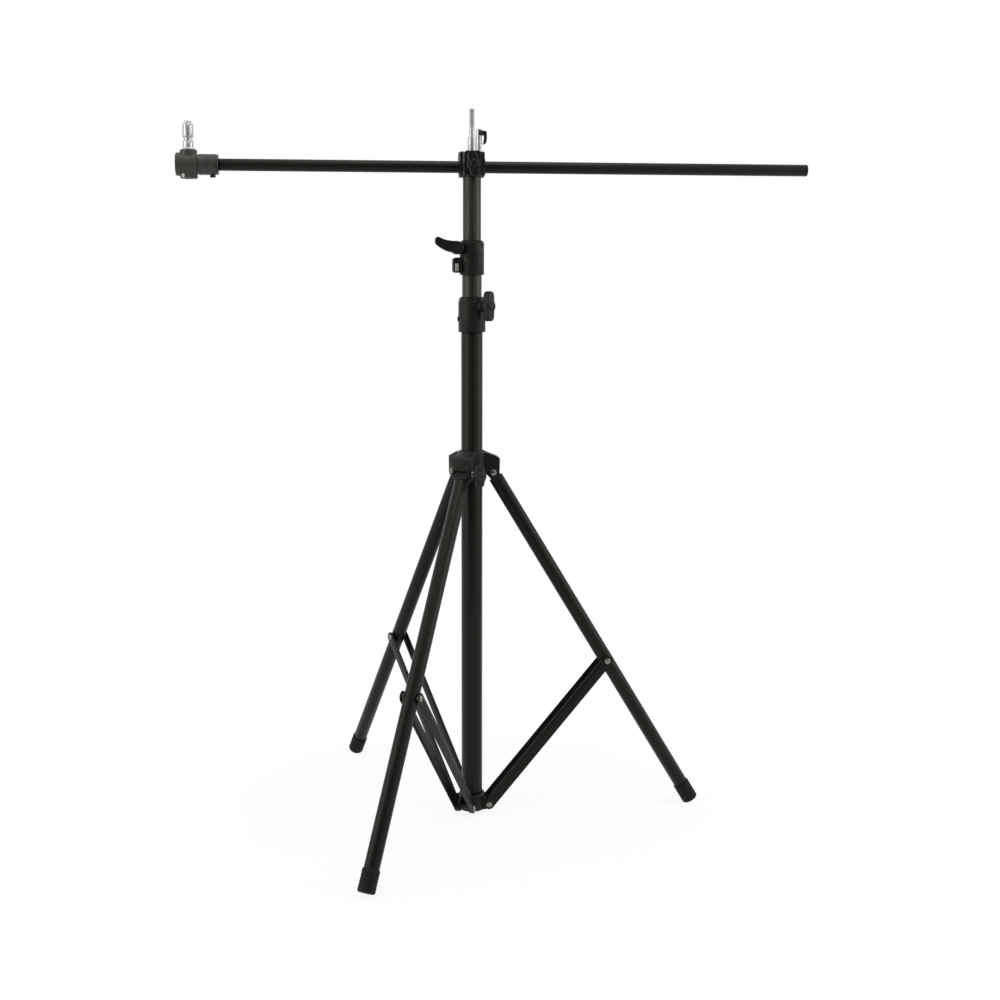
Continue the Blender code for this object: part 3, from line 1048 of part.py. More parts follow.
def head_casting_solid():
    """A rounded drum along the boom with a cross boss through it, bored for the spigot."""
    right = LAMP_RIGHT_X - LAMP_NECK_LENGTH
    round_r = LAMP_BODY_RADIUS - LAMP_BODY_ROUND
    profile = [(0, LAMP_LEFT_X)]
    profile += arc((round_r, LAMP_LEFT_X + LAMP_BODY_ROUND), LAMP_BODY_ROUND, -90, 0, 3)
    profile += arc((round_r, right - LAMP_BODY_ROUND), LAMP_BODY_ROUND, 0, 90, 3)
    profile += [(LAMP_NECK_RADIUS, right), (LAMP_NECK_RADIUS, LAMP_RIGHT_X), (0, LAMP_RIGHT_X)]
    drum = moved(turned(profile, TUBE_STEPS), OUTWARD)
    at_boss = Matrix.Translation((BOSS_X, 0, 0))
    boss = turned([
        (0, -BOSS_HALF_HEIGHT), (BOSS_RADIUS - BOSS_CHAMFER, -BOSS_HALF_HEIGHT),
        (BOSS_RADIUS, -BOSS_HALF_HEIGHT + BOSS_CHAMFER), (BOSS_RADIUS, BOSS_HALF_HEIGHT - BOSS_CHAMFER),
        (BOSS_RADIUS - BOSS_CHAMFER, BOSS_HALF_HEIGHT), (0, BOSS_HALF_HEIGHT)], BOSS_STEPS)
    spigot_hole = rod(SPIGOT_SHANK_RADIUS + PIN_CLEARANCE, -2 * BOSS_HALF_HEIGHT, 2 * BOSS_HALF_HEIGHT,
                      BOSS_STEPS)
    set_hole = moved(rod(SET_SCREW_RADIUS + PIN_CLEARANCE, 0, BOSS_RADIUS + OVERCUT), SCREW_IN_BOSS)
    return carved(drum, ("UNION", moved(boss, at_boss)), ("DIFFERENCE", moved(spigot_hole, at_boss)),
                  ("DIFFERENCE", moved(set_hole, at_boss)))


piece("head_casting", head_casting_solid(), CASTING, lamp)
set_start = SPIGOT_SHANK_RADIUS + 2 * GAP
set_seat = BOSS_RADIUS + GAP
set_screw = turned([(0, set_start), (SET_SCREW_RADIUS, set_start), (SET_SCREW_RADIUS, set_seat),
                    (SET_SCREW_HEAD, set_seat), (SET_SCREW_HEAD, set_seat + SET_SCREW_HEAD_HEIGHT),
                    (0, set_seat + SET_SCREW_HEAD_HEIGHT)], PIN_STEPS)
set_screw_place = Matrix.Translation((BOSS_X, 0, 0)) @ SCREW_IN_BOSS
piece("spigot_set_screw", moved(set_screw, set_screw_place), ZINC, lamp)

head_screw = frame("head_screw_axis", (HEAD_SCREW_X, 0, 0), parent=lamp)
screw_seat = HEAD_SLEEVE_RADIUS + GAP
screw_end = screw_seat + HEAD_SCREW_HEAD_HEIGHT
piece("head_lock_screw", moved(turned([
    (0, BOOM_R + GAP), (HEAD_SCREW_RADIUS, BOOM_R + GAP), (HEAD_SCREW_RADIUS, screw_seat),
    (HEAD_SCREW_HEAD_RADIUS, screw_seat), (HEAD_SCREW_HEAD_RADIUS, screw_end - CHAMFER),
    (HEAD_SCREW_HEAD_RADIUS - CHAMFER, screw_end), (0, screw_end)], PIN_STEPS), toward((0, 0, -1))),
    PLASTIC, head_screw)

spigot_axis = frame("spigot_axis", (BOSS_X, 0, 0), parent=lamp)
seat = BOSS_HALF_HEIGHT + GAP
shank_end = BOSS_HALF_HEIGHT - SPIGOT_SHANK
top = BOSS_HALF_HEIGHT + SPIGOT_HEIGHT
tip = top - SPIGOT_TIP
groove_low = seat + SPIGOT_GROOVE_RISE
groove_high = groove_low + SPIGOT_GROOVE_WIDTH
piece("spigot", turned([
    (0, shank_end), (SPIGOT_SHANK_RADIUS, shank_end), (SPIGOT_SHANK_RADIUS, seat),
    (SPIGOT_FLANGE_RADIUS, seat), (SPIGOT_FLANGE_RADIUS, seat + SPIGOT_FLANGE_RIM),
    (SPIGOT_RADIUS, seat + SPIGOT_FLANGE),
    (SPIGOT_RADIUS, groove_low), (SPIGOT_GROOVE_RADIUS, groove_low + CHAMFER),
    (SPIGOT_GROOVE_RADIUS, groove_high - CHAMFER), (SPIGOT_RADIUS, groove_high), (SPIGOT_RADIUS, tip),
    (SPIGOT_TIP_RADIUS, tip + CHAMFER), (SPIGOT_TIP_RADIUS, top - CHAMFER),
    (SPIGOT_TIP_RADIUS - CHAMFER, top), (0, top)], BOSS_STEPS), CHROME, spigot_axis)
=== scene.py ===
import math

import bpy
from mathutils import Matrix, Vector


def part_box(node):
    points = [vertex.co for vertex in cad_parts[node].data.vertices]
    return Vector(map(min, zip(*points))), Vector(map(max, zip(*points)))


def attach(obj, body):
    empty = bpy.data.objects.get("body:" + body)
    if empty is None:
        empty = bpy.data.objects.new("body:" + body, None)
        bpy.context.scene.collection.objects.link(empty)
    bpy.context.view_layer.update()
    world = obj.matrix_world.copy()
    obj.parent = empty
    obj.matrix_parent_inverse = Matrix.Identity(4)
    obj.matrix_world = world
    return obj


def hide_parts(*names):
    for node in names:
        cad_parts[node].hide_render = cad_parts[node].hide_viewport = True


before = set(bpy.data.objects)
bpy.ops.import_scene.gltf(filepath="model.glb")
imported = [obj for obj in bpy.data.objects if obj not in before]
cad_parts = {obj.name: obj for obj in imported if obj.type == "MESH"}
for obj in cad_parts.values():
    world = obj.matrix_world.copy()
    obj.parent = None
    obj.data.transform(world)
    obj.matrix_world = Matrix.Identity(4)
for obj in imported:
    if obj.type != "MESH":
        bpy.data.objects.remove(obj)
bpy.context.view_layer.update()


# Studio: a white floor that fades into a white surround, with a soft lamp on each side and one
# overhead. A dark card behind the camera gives the round tubes their dark middle line.

MM = 0.001
WHITE = (1.0, 1.0, 1.0, 1.0)
AMBIENT = 0.45
FLOOR_Z, FLOOR_RADIUS = -3.0 * MM, 1.9
FLOOR_GREY, FLOOR_GLOW = (0.88, 0.88, 0.88, 1.0), 1.04
SHADOW_SHARE, SHADOW_FADES = 0.14, (0.30, 0.75)
CARD_GREY = (0.10, 0.10, 0.10, 1.0)
CARD_MIDDLE, CARD_SIZE = (-0.32, -3.0, 0.9), (2.7, 3.6, 1.0)


class Wire:
    """One output of a node, which takes part in sums as a number does."""

    def __init__(self, recipe, socket):
        self.recipe = recipe
        self.socket = socket

    def __add__(self, other):
        return self.recipe.sum("ADD", self, other)

    def __sub__(self, other):
        return self.recipe.sum("SUBTRACT", self, other)

    def __rsub__(self, other):
        return self.recipe.sum("SUBTRACT", other, self)

    def __mul__(self, other):
        return self.recipe.sum("MULTIPLY", self, other)

    __radd__ = __add__
    __rmul__ = __mul__


class Recipe:
    """The nodes of one material or of the surround."""

    def __init__(self, owner):
        owner.use_nodes = True
        self.owner = owner
        self.tree = owner.node_tree
        self.shader = self.tree.nodes.get("Principled BSDF") or self.tree.nodes["Background"]

    def feed(self, node, sockets):
        """Sets sockets of a node, or links wires to them."""
        for key, value in sockets.items():
            if isinstance(value, Wire):
                self.tree.links.new(value.socket, node.inputs[key])
            else:
                node.inputs[key].default_value = value

    def node(self, kind, settings=None, sockets=None, out=0):
        """Adds any node: its settings first, then the values or wires of its sockets."""
        made = self.tree.nodes.new(kind)
        for key, value in (settings or {}).items():
            setattr(made, key, value)
        self.feed(made, sockets or {})
        return Wire(self, made.outputs[out])

    def sum(self, operation, first, second):
        """Works out one step of a sum."""
        return self.node("ShaderNodeMath", {"operation": operation}, {0: first, 1: second})

    def place(self):
        """Where on the object a point lies, in metres."""
        return self.node("ShaderNodeTexCoord", out="Object")

    def noise(self, place, scale, detail, roughness=0.5):
        """Soft random patches, with their size set by scale, in patches to the metre."""
        return self.node("ShaderNodeTexNoise", None, {
            "Vector": place, "Scale": scale, "Detail": detail, "Roughness": roughness})

    def cells(self, place, scale):
        """The distance to the nearest of many scattered points, this many to the metre."""
        return self.node("ShaderNodeTexVoronoi", None, {"Vector": place, "Scale": scale})

    def between(self, value, low, high):
        """0 below the low value and 1 above the high one, with a smooth step from one to the other."""
        return self.node("ShaderNodeMapRange", {"interpolation_type": "SMOOTHSTEP"}, {
            "Value": value, "From Min": low, "From Max": high})

    def blend(self, amount, first, second):
        """Mixes a colour, or a wire of colours, with a second colour."""
        if isinstance(first, tuple):
            first = (*first, 1.0)
        return self.node("ShaderNodeMix", {"data_type": "RGBA"}, {
            0: amount, 6: first, 7: (*second, 1.0)}, out=2)

    def bump(self, height, distance, strength):
        """Relief of this depth in metres, at this share of its full strength."""
        return self.node("ShaderNodeBump", None, {
            "Height": height, "Distance": distance, "Strength": strength})

    def seen_direct(self):
        """1 for rays from the camera, also by way of gloss or glass, and 0 for light that bounces."""
        rays = self.node("ShaderNodeLightPath", out="Is Camera Ray")
        for kind in ("Is Glossy Ray", "Is Transmission Ray"):
            rays = rays + self.node("ShaderNodeLightPath", out=kind)
        return self.between(rays, 0.0, 1.0)


surround = Recipe(bpy.data.worlds.new("white_surround"))
bpy.context.scene.world = surround.owner
surround.feed(surround.shader, {
    "Color": WHITE, "Strength": surround.seen_direct() * (1.0 - AMBIENT) + AMBIENT})

bpy.ops.object.select_all(action="DESELECT")
bpy.ops.mesh.primitive_circle_add(vertices=128, radius=FLOOR_RADIUS, fill_type="NGON",
                                  location=(0, 0, FLOOR_Z))
floor = bpy.context.object
floor.name = "studio_floor"
bpy.ops.object.transform_apply(location=True, rotation=False, scale=False)
pale = Recipe(bpy.data.materials.new("pale_floor"))
pale.feed(pale.shader, {"Base Color": FLOOR_GREY, "Roughness": 0.9, "Specular IOR Level": 0.0})
from_middle = pale.node("ShaderNodeVectorMath", {"operation": "LENGTH"}, {0: pale.place()}, out="Value")
glow = pale.node("ShaderNodeEmission", None, {"Color": WHITE, "Strength": FLOOR_GLOW})
glow_share = pale.between(from_middle, *SHADOW_FADES) * SHADOW_SHARE + (1.0 - SHADOW_SHARE)
lit_floor = Wire(pale, pale.shader.outputs[0])
shown = pale.node("ShaderNodeMixShader", None, {0: pale.seen_direct() * glow_share, 1: lit_floor, 2: glow})
pale.feed(pale.tree.nodes["Material Output"], {"Surface": shown})
floor.data.materials.append(pale.owner)

bpy.ops.object.select_all(action="DESELECT")
bpy.ops.mesh.primitive_plane_add(size=1.0, location=CARD_MIDDLE, rotation=(math.radians(90), 0, 0))
card = bpy.context.object
card.name = "dark_card"
card.scale = CARD_SIZE
card.visible_camera = False
card.visible_diffuse = False
card.visible_shadow = False
dark = Recipe(bpy.data.materials.new("dark_card"))
dark.feed(dark.shader, {"Base Color": CARD_GREY, "Roughness": 1.0})
card.data.materials.append(dark.owner)


def soft_lamp(name, location, aim, width, height, level):
    """A rectangular soft lamp aimed at a point, whose power gives this level on a white surface."""
    reach = Vector(aim) - Vector(location)
    bpy.ops.object.light_add(type="AREA", location=location)
    lamp = bpy.context.object
    lamp.name = name
    lamp.data.shape = "RECTANGLE"
    lamp.data.size = width
    lamp.data.size_y = height
    lamp.data.energy = level * math.pi ** 2 * reach.length_squared
    lamp.rotation_euler = reach.to_track_quat("-Z", "Y").to_euler()


soft_lamp("left_soft_lamp", (-2.6, -0.9, 1.3), aim=(0, 0, 0.6), width=1.0, height=2.2, level=0.26)
soft_lamp("right_soft_lamp", (2.6, -0.6, 1.3), aim=(0, 0, 0.6), width=1.0, height=2.2, level=0.24)
soft_lamp("top_soft_lamp", (0.1, -0.3, 3.1), aim=(0, 0, 0.5), width=1.8, height=1.8, level=0.34)

camera_data = bpy.data.cameras.new("photo_camera")
camera_data.lens = 49.62
camera_data.sensor_width = 36.0
camera_data.shift_x = 0.0281
camera_data.clip_start = 0.05
camera = bpy.data.objects.new("photo_camera", camera_data)
camera.location = (-0.2183, -2.0560, 0.7851)
camera.rotation_euler = (math.radians(81.80), 0.0, math.radians(-6.06))
bpy.context.scene.collection.objects.link(camera)
bpy.context.scene.camera = camera
bpy.context.scene.view_settings.view_transform = "Standard"


# Column tube: drawn aluminium tube, 32 mm across, in satin black paint. Its finish has a fine
# orange peel over faint lines left along the tube by the drawing die.

SIDES = 72
SMOOTH_BELOW = 35
COLUMN_R, COLUMN_BORE = 16.0 * MM, 15.0 * MM
SMALL_EDGE = 0.25 * MM
OLIVE_SHEEN = (0.97, 1.0, 0.86, 1.0)
DULL_BLACK = (0.0042, 0.0044, 0.0036), (0.0082, 0.0084, 0.0072)
SCUFFED_BLACK = (0.030, 0.030, 0.027)


def alone(piece):
    """Makes this the only selected object, and the active one."""
    bpy.ops.object.select_all(action="DESELECT")
    piece.select_set(True)
    bpy.context.view_layer.objects.active = piece


def lathe(section, sides=SIDES, hollow=False):
    """A round piece about Z: each (radius, height) is a ring extruded from the last, then closed."""
    radius, height = section[0]
    bpy.ops.object.select_all(action="DESELECT")
    bpy.ops.mesh.primitive_circle_add(vertices=sides, radius=radius, location=(0, 0, height))
    turned = bpy.context.object
    bpy.ops.object.transform_apply(location=True, rotation=False, scale=False)
    bpy.ops.object.mode_set(mode="EDIT")
    bpy.ops.mesh.select_all(action="SELECT")
    for wider, higher in section[1:]:
        bpy.ops.mesh.extrude_region_move(TRANSFORM_OT_translate={"value": (0, 0, higher - height)})
        if not math.isclose(wider, radius):
            grow = wider / radius
            bpy.ops.transform.resize(value=(grow, grow, 1), center_override=(0, 0, higher))
        radius, height = wider, higher
    bpy.ops.mesh.select_all(action="DESELECT")
    bpy.ops.mesh.select_non_manifold()
    if hollow:
        bpy.ops.mesh.bridge_edge_loops()
    else:
        bpy.ops.mesh.fill_holes(sides=0)
    bpy.ops.mesh.select_all(action="SELECT")
    bpy.ops.mesh.normals_make_consistent(inside=False)
    bpy.ops.object.mode_set(mode="OBJECT")
    return turned


def soften(piece, width, segments=2, sharper_than=40):
    """Rounds every edge that bends by more than this angle."""
    alone(piece)
    bpy.ops.object.modifier_add(type="BEVEL")
    bevel = piece.modifiers[-1]
    bevel.width = width
    bevel.segments = segments
    bevel.limit_method = "ANGLE"
    bevel.angle_limit = math.radians(sharper_than)
    bpy.ops.object.modifier_apply(modifier=bevel.name)
    return piece


def pipe(outer, bore, low, high, edge):
    """A drawn tube along Z, with its cut ends softened."""
    return soften(lathe([(outer, low), (outer, high), (bore, high), (bore, low)], hollow=True), edge)


def at(location=(0, 0, 0), azimuth=0.0, lean=0.0):
    """A place: leaned over about Y, then turned about Z, then moved. A lean of 90 lays +Z along +X."""
    return (Matrix.Translation(location) @ Matrix.Rotation(math.radians(azimuth), 4, "Z")
            @ Matrix.Rotation(math.radians(lean), 4, "Y"))


def turned_to(piece, place):
    """The same piece, with this place put in its mesh."""
    piece.matrix_world = place @ piece.matrix_world
    alone(piece)
    bpy.ops.object.transform_apply(location=True, rotation=True, scale=True)
    return piece


def settle(piece, name, body, finish, node=None, place=at()):
    """Names a finished piece, puts it in its place, gives it a finish and hangs it on its body."""
    material, slot = finish
    piece.name = piece.data.name = name
    turned_to(piece, place)
    bpy.ops.object.shade_smooth_by_angle(angle=math.radians(SMOOTH_BELOW))
    piece.data.materials.clear()
    piece.data.materials.append(material)
    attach(piece, body)
    if node:
        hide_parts(node)


def tube_paint(name, azimuth=0.0, lean=0.0, shine=0.17, tones=DULL_BLACK):
    """Satin black paint on a drawn tube that runs along the given direction."""
    paint = Recipe(bpy.data.materials.new(name))
    along = paint.node("ShaderNodeMapping", {"vector_type": "TEXTURE"}, {
        "Vector": paint.place(), "Rotation": (0, math.radians(lean), math.radians(azimuth))})
    drawn = paint.node("ShaderNodeMapping", None, {"Vector": along, "Scale": (1, 1, 0.012)})
    lines = paint.noise(drawn, 1400, detail=3, roughness=0.6)
    scuffs = paint.between(paint.noise(drawn, 420, detail=4, roughness=0.7), 0.58, 0.74)
    patches = paint.noise(along, 28, detail=3)
    peel = paint.noise(along, 950, detail=2)
    paint.feed(paint.shader, {
        "Base Color": paint.blend(scuffs * 0.22, paint.blend(patches, *tones), SCUFFED_BLACK),
        "Roughness": patches * 0.10 + lines * 0.08 + 0.27 + scuffs * 0.06,
        "Normal": paint.bump(peel + lines * 0.8, 0.05 * MM, 0.55),
        "Specular IOR Level": shine, "Specular Tint": OLIVE_SHEEN})
    return paint.owner, "tube_paint"


low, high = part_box("column_tube")
settle(pipe(COLUMN_R, COLUMN_BORE, low.z, high.z, SMALL_EDGE), "outer_column_tube", "column",
       tube_paint("satin_paint_column"), "column_tube")


# Foot plug: a black moulded plug pressed into the column's open foot. Moulded black plastic also
# makes the liners, the sliding bushings, the knobs, the lever and the caps.

def moulded_plastic(name, darker, lighter):
    """Nylon with the fine spark-eroded grain of its mould and a little handling shine."""
    nylon = Recipe(bpy.data.materials.new(name))
    place = nylon.place()
    handled = nylon.noise(place, 60, detail=3)
    nylon.feed(nylon.shader, {
        "Base Color": nylon.blend(handled, darker, lighter),
        "Roughness": handled * 0.16 + 0.34,
        "Normal": nylon.bump(nylon.cells(place, 1500), 0.06 * MM, 0.5),
        "Specular IOR Level": 0.22, "Specular Tint": OLIVE_SHEEN})
    return nylon.owner, "plastic"


def refinish(finish, *nodes):
    """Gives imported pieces, whose shape is right as it is, a finish."""
    for node in nodes:
        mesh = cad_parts[node].data
        mesh.materials.clear()
        mesh.materials.append(finish[0])


NYLON = moulded_plastic("moulded_black_nylon", (0.0045, 0.0045, 0.0040), (0.0088, 0.0088, 0.0080))
refinish(NYLON, "base_plug", "leg_collar_liner", "mid_end_bushing", "top_end_bushing")


# Spreader: a die-cast ring pinned to the foot of the column, with a pair of round-ended ears for
# each leg's struts. Die castings here are painted black over a slightly pebbled skin.

LEG_AZIMUTHS = (0.0, 120.0, 240.0)
STANDING = Matrix.Rotation(math.radians(90), 4, "X")  # an outline's Y becomes its height
CAST_EDGE = 0.7 * MM
CORE_R, RING_BORE = 12.0 * MM, 16.3 * MM
SPREADER_R, SPREADER_LOW, SPREADER_HIGH = 19.5 * MM, 1.0 * MM, 27.5 * MM
RIVET_REACH, RIVET_Z = 25.5 * MM, 10.6 * MM
SPREADER_EAR_R, SPREADER_EAR_WIDTH, SPREADER_EAR_ROOT = 8.0 * MM, 4.0 * MM, 15.5 * MM
SPREADER_EAR_STARTS = (8.6 * MM, -12.6 * MM)


def cast_metal(name, darker, lighter, rough):
    """Painted die casting: a pebbled skin with rubbed, slightly brighter high spots."""
    cast = Recipe(bpy.data.materials.new(name))
    place = cast.place()
    pebbles = cast.noise(place, 780, detail=3, roughness=0.6)
    rubbed = cast.between(cast.noise(place, 95, detail=4, roughness=0.65), 0.46, 0.68)
    cast.feed(cast.shader, {
        "Base Color": cast.blend(rubbed, darker, lighter),
        "Roughness": rough - rubbed * 0.12 + pebbles * 0.08,
        "Normal": cast.bump(pebbles + cast.cells(place, 420) * 0.35, 0.11 * MM, 0.7),
        "Specular IOR Level": 0.20, "Specular Tint": OLIVE_SHEEN})
    return cast.owner, "casting"


def curve(centre, radius, start, end, count=16):
    """Points along a round stretch of an outline, in degrees, both ends included."""
    turns = [math.radians(start + (end - start) * step / count) for step in range(count + 1)]
    return [(centre[0] + radius * math.cos(turn), centre[1] + radius * math.sin(turn)) for turn in turns]


def plate(outline, base, top, edge=0.0, segments=3):
    """A flat piece cut to an outline of (x, y) points, extruded along Z, with both rims rounded."""
    bpy.ops.object.select_all(action="DESELECT")
    bpy.ops.mesh.primitive_circle_add(vertices=len(outline), radius=1.0, fill_type="NGON")
    cut = bpy.context.object
    for corner, (x, y) in zip(cut.data.vertices, outline):
        corner.co = (x, y, base)
    bpy.ops.object.mode_set(mode="EDIT")
    bpy.ops.mesh.select_all(action="SELECT")
    bpy.ops.mesh.extrude_region_move(TRANSFORM_OT_translate={"value": (0, 0, top - base)})
    bpy.ops.mesh.select_all(action="SELECT")
    bpy.ops.mesh.normals_make_consistent(inside=False)
    bpy.ops.mesh.select_all(action="DESELECT")
    bpy.ops.object.mode_set(mode="OBJECT")
    if edge:
        bpy.context.tool_settings.mesh_select_mode = (False, True, False)
        for item in cut.data.edges:
            ends = [cut.data.vertices[index].co.z for index in item.vertices]
            item.select = abs(ends[0] - ends[1]) < 0.0001 * MM
        bpy.ops.object.mode_set(mode="EDIT")
        bpy.ops.mesh.bevel(offset=edge, segments=segments, affect="EDGES")
        bpy.ops.object.mode_set(mode="OBJECT")
        bpy.context.tool_settings.mesh_select_mode = (True, False, False)
    return cut


def work(piece, operation, tool):
    """Joins a tool to a piece or cuts it away, and takes the tool off the bench."""
    alone(piece)
    bpy.ops.object.modifier_add(type="BOOLEAN")
    step = piece.modifiers[-1]
    step.operation = operation
    step.solver = "EXACT"
    step.object = tool
    bpy.ops.object.modifier_apply(modifier=step.name)
    bpy.data.objects.remove(tool)
    bpy.ops.object.mode_set(mode="EDIT")
    bpy.ops.mesh.select_all(action="SELECT")
    bpy.ops.mesh.remove_doubles(threshold=0.001 * MM)
    bpy.ops.object.mode_set(mode="OBJECT")


def join(piece, form, place=at()):
    """Makes one more form part of a piece."""
    work(piece, "UNION", turned_to(form, place))


def cut_away(piece, form, place=at()):
    """Takes a form out of a piece."""
    work(piece, "DIFFERENCE", turned_to(form, place))


def rod(radius, low, high, sides=SIDES):
    """A plain round bar along Z."""
    return lathe([(radius, low), (radius, high)], sides)


CASTING = cast_metal("black_die_casting", (0.0045, 0.0047, 0.0040), (0.0110, 0.0112, 0.0098), 0.46)

spreader = lathe([(CORE_R, SPREADER_LOW), (SPREADER_R, SPREADER_LOW), (SPREADER_R, SPREADER_HIGH),
                  (CORE_R, SPREADER_HIGH)])
soften(spreader, CAST_EDGE, 3)
ear_outline = [(SPREADER_EAR_ROOT, SPREADER_LOW + 0.3 * MM)]
ear_outline += curve((RIVET_REACH, RIVET_Z), SPREADER_EAR_R, -84, 50, 20)
ear_outline += [(SPREADER_EAR_ROOT, SPREADER_HIGH - 3.5 * MM)]
for azimuth in LEG_AZIMUTHS:
    for start in SPREADER_EAR_STARTS:
        ear = plate(ear_outline, start, start + SPREADER_EAR_WIDTH, 0.6 * MM)
        join(spreader, ear, at(azimuth=azimuth) @ STANDING)
cut_away(spreader, rod(RING_BORE, -5 * MM, 40 * MM))
settle(spreader, "cast_spreader", "column", CASTING, "spreader_bracket")


# Rivets: zinc-plated steel with low domed heads, closed over the struts at the spreader and
# through each clevis of the leg collar. A black spacer tube keeps the spreader's ears apart.

SMALL_SIDES = 40
PLAY = 0.3 * MM
RIVET_SHANK_R, RIVET_HEAD_R, RIVET_HEAD_RISE = 2.5 * MM, 4.6 * MM, 1.6 * MM
DOME_STEPS = ((1.0, 0.0), (0.96, 0.45), (0.76, 0.82), (0.42, 0.97), (0.1, 1.0))
SPREADER_RIVET_SPAN, CLEVIS_RIVET_SPAN = 14.9 * MM, 14.5 * MM
SPACER_BORE, SPACER_R, SPACER_HALF = 2.6 * MM, 3.5 * MM, 8.3 * MM
PIVOT_R, PIVOT_Z = 31.0 * MM, 530.42 * MM
CROSSWISE = at(azimuth=90, lean=90)  # +Z is laid along +Y


def plated_steel():
    """Zinc plating: bright steel with a faint yellow passivation and fine rolled lines."""
    zinc = Recipe(bpy.data.materials.new("zinc_plate"))
    place = zinc.place()
    bloom = zinc.noise(place, 240, detail=4, roughness=0.6)
    zinc.feed(zinc.shader, {
        "Base Color": zinc.blend(bloom, (0.15, 0.144, 0.128), (0.28, 0.274, 0.253)),
        "Metallic": 1.0,
        "Roughness": bloom * 0.22 + 0.18,
        "Normal": zinc.bump(zinc.noise(place, 2600, detail=2), 0.03 * MM, 0.4)})
    return zinc.owner, "zinc"


def dome(height):
    """Rings of a low domed head that starts at this height."""
    return [(wide * RIVET_HEAD_R, height + rise * RIVET_HEAD_RISE) for wide, rise in DOME_STEPS]


def rivet(span):
    """A rivet along Z with its heads just beyond plus and minus the span."""
    head = dome(span + PLAY)
    foot = [(radius, -height) for radius, height in reversed(head)]
    shank = [(RIVET_SHANK_R, -span - PLAY), (RIVET_SHANK_R, span + PLAY)]
    return lathe(foot + shank + head, SMALL_SIDES)


def out_from_column(azimuth, reach, height):
    """A place out from the column in a leg's direction."""
    return at(azimuth=azimuth) @ Matrix.Translation((reach, 0, height))


ZINC = plated_steel()

for number, azimuth in enumerate(LEG_AZIMUTHS, 1):
    across = out_from_column(azimuth, RIVET_REACH, RIVET_Z) @ CROSSWISE
    settle(rivet(SPREADER_RIVET_SPAN), f"spreader_rivet_{number}_domed", "column", ZINC,
           f"spreader_rivet_{number}", across)
    spacer = lathe([(SPACER_BORE, -SPACER_HALF), (SPACER_R, -SPACER_HALF), (SPACER_R, SPACER_HALF),
                    (SPACER_BORE, SPACER_HALF)], SMALL_SIDES, hollow=True)
    settle(spacer, f"spreader_rivet_{number}_spacer", "column", NYLON, place=across)
    settle(rivet(CLEVIS_RIVET_SPAN), f"leg_pivot_rivet_{number}_domed", "leg_slider", ZINC,
           f"leg_pivot_rivet_{number}", out_from_column(azimuth, PIVOT_R, PIVOT_Z) @ CROSSWISE)


# Lower lock collar: a cast sleeve clamped on the column's top, with a stepped rim, a boss for the
# knob's screw and a small black screw in its left side that stops it turning.

BOSS_SIDES, HOLE_SIDES, HEXAGON = 48, 32, 6
BOSS_EDGE = 0.8 * MM
SCREW_HOLE_R = 2.8 * MM
LOWER_COLLAR_LOW, LOWER_COLLAR_HIGH = 740.0 * MM, 790.0 * MM
LOWER_COLLAR_R, LOWER_RIM_R = 20.2 * MM, 19.2 * MM
LOWER_BOSS_R, LOWER_BOSS_AZIMUTH, LOWER_BOSS_Z = 8.0 * MM, -51.0, 778.0 * MM
STOP_SCREW_R, STOP_SCREW_SEAT = 3.6 * MM, 19.7 * MM
STOP_SCREW_AZIMUTH, STOP_SCREW_Z = 180.0, 759.5 * MM

collar = lathe([(RING_BORE, LOWER_COLLAR_LOW), (LOWER_COLLAR_R, LOWER_COLLAR_LOW),
                (LOWER_COLLAR_R, LOWER_COLLAR_HIGH - 5.0 * MM), (LOWER_RIM_R, LOWER_COLLAR_HIGH - 4.4 * MM),
                (LOWER_RIM_R, LOWER_COLLAR_HIGH), (RING_BORE, LOWER_COLLAR_HIGH)], hollow=True)
soften(collar, CAST_EDGE, 3)
toward_knob = at((0, 0, LOWER_BOSS_Z), LOWER_BOSS_AZIMUTH, 90)
boss = rod(LOWER_BOSS_R, 17.4 * MM, 25.5 * MM, BOSS_SIDES)
join(collar, soften(boss, BOSS_EDGE, 3), toward_knob)
cut_away(collar, rod(SCREW_HOLE_R, 14 * MM, 30 * MM, HOLE_SIDES), toward_knob)
toward_screw = at((0, 0, STOP_SCREW_Z), STOP_SCREW_AZIMUTH, 90)
cut_away(collar, rod(STOP_SCREW_R + 0.8 * MM, 19.6 * MM, 24 * MM, SMALL_SIDES), toward_screw)
settle(collar, "lower_collar_casting", "column", CASTING, "lower_lock_collar")


def socket_screw(head_r, seat, rise, hex_r, drop):
    """A screw head along Z with a softened rim and a hexagonal socket, on a short shank."""
    top = seat + rise
    head = lathe([(0.5 * head_r, seat - 2 * MM), (0.5 * head_r, seat), (head_r, seat), (head_r, top)],
                 SMALL_SIDES)
    soften(head, 0.35 * MM, 3)
    cut_away(head, rod(hex_r, top - drop, top + 1 * MM, HEXAGON))
    return head


stop_screw = socket_screw(STOP_SCREW_R, STOP_SCREW_SEAT, rise=1.8 * MM, hex_r=1.6 * MM, drop=1.1 * MM)
settle(stop_screw, "collar_stop_screw", "column", NYLON, place=toward_screw)


# Turning knobs: moulded T-handles over the heads of their clamping screws. Each has a two-lobed
# wing with fluted ends, a round neck and a dished cap. The fold knob is worn greyer than the rest.

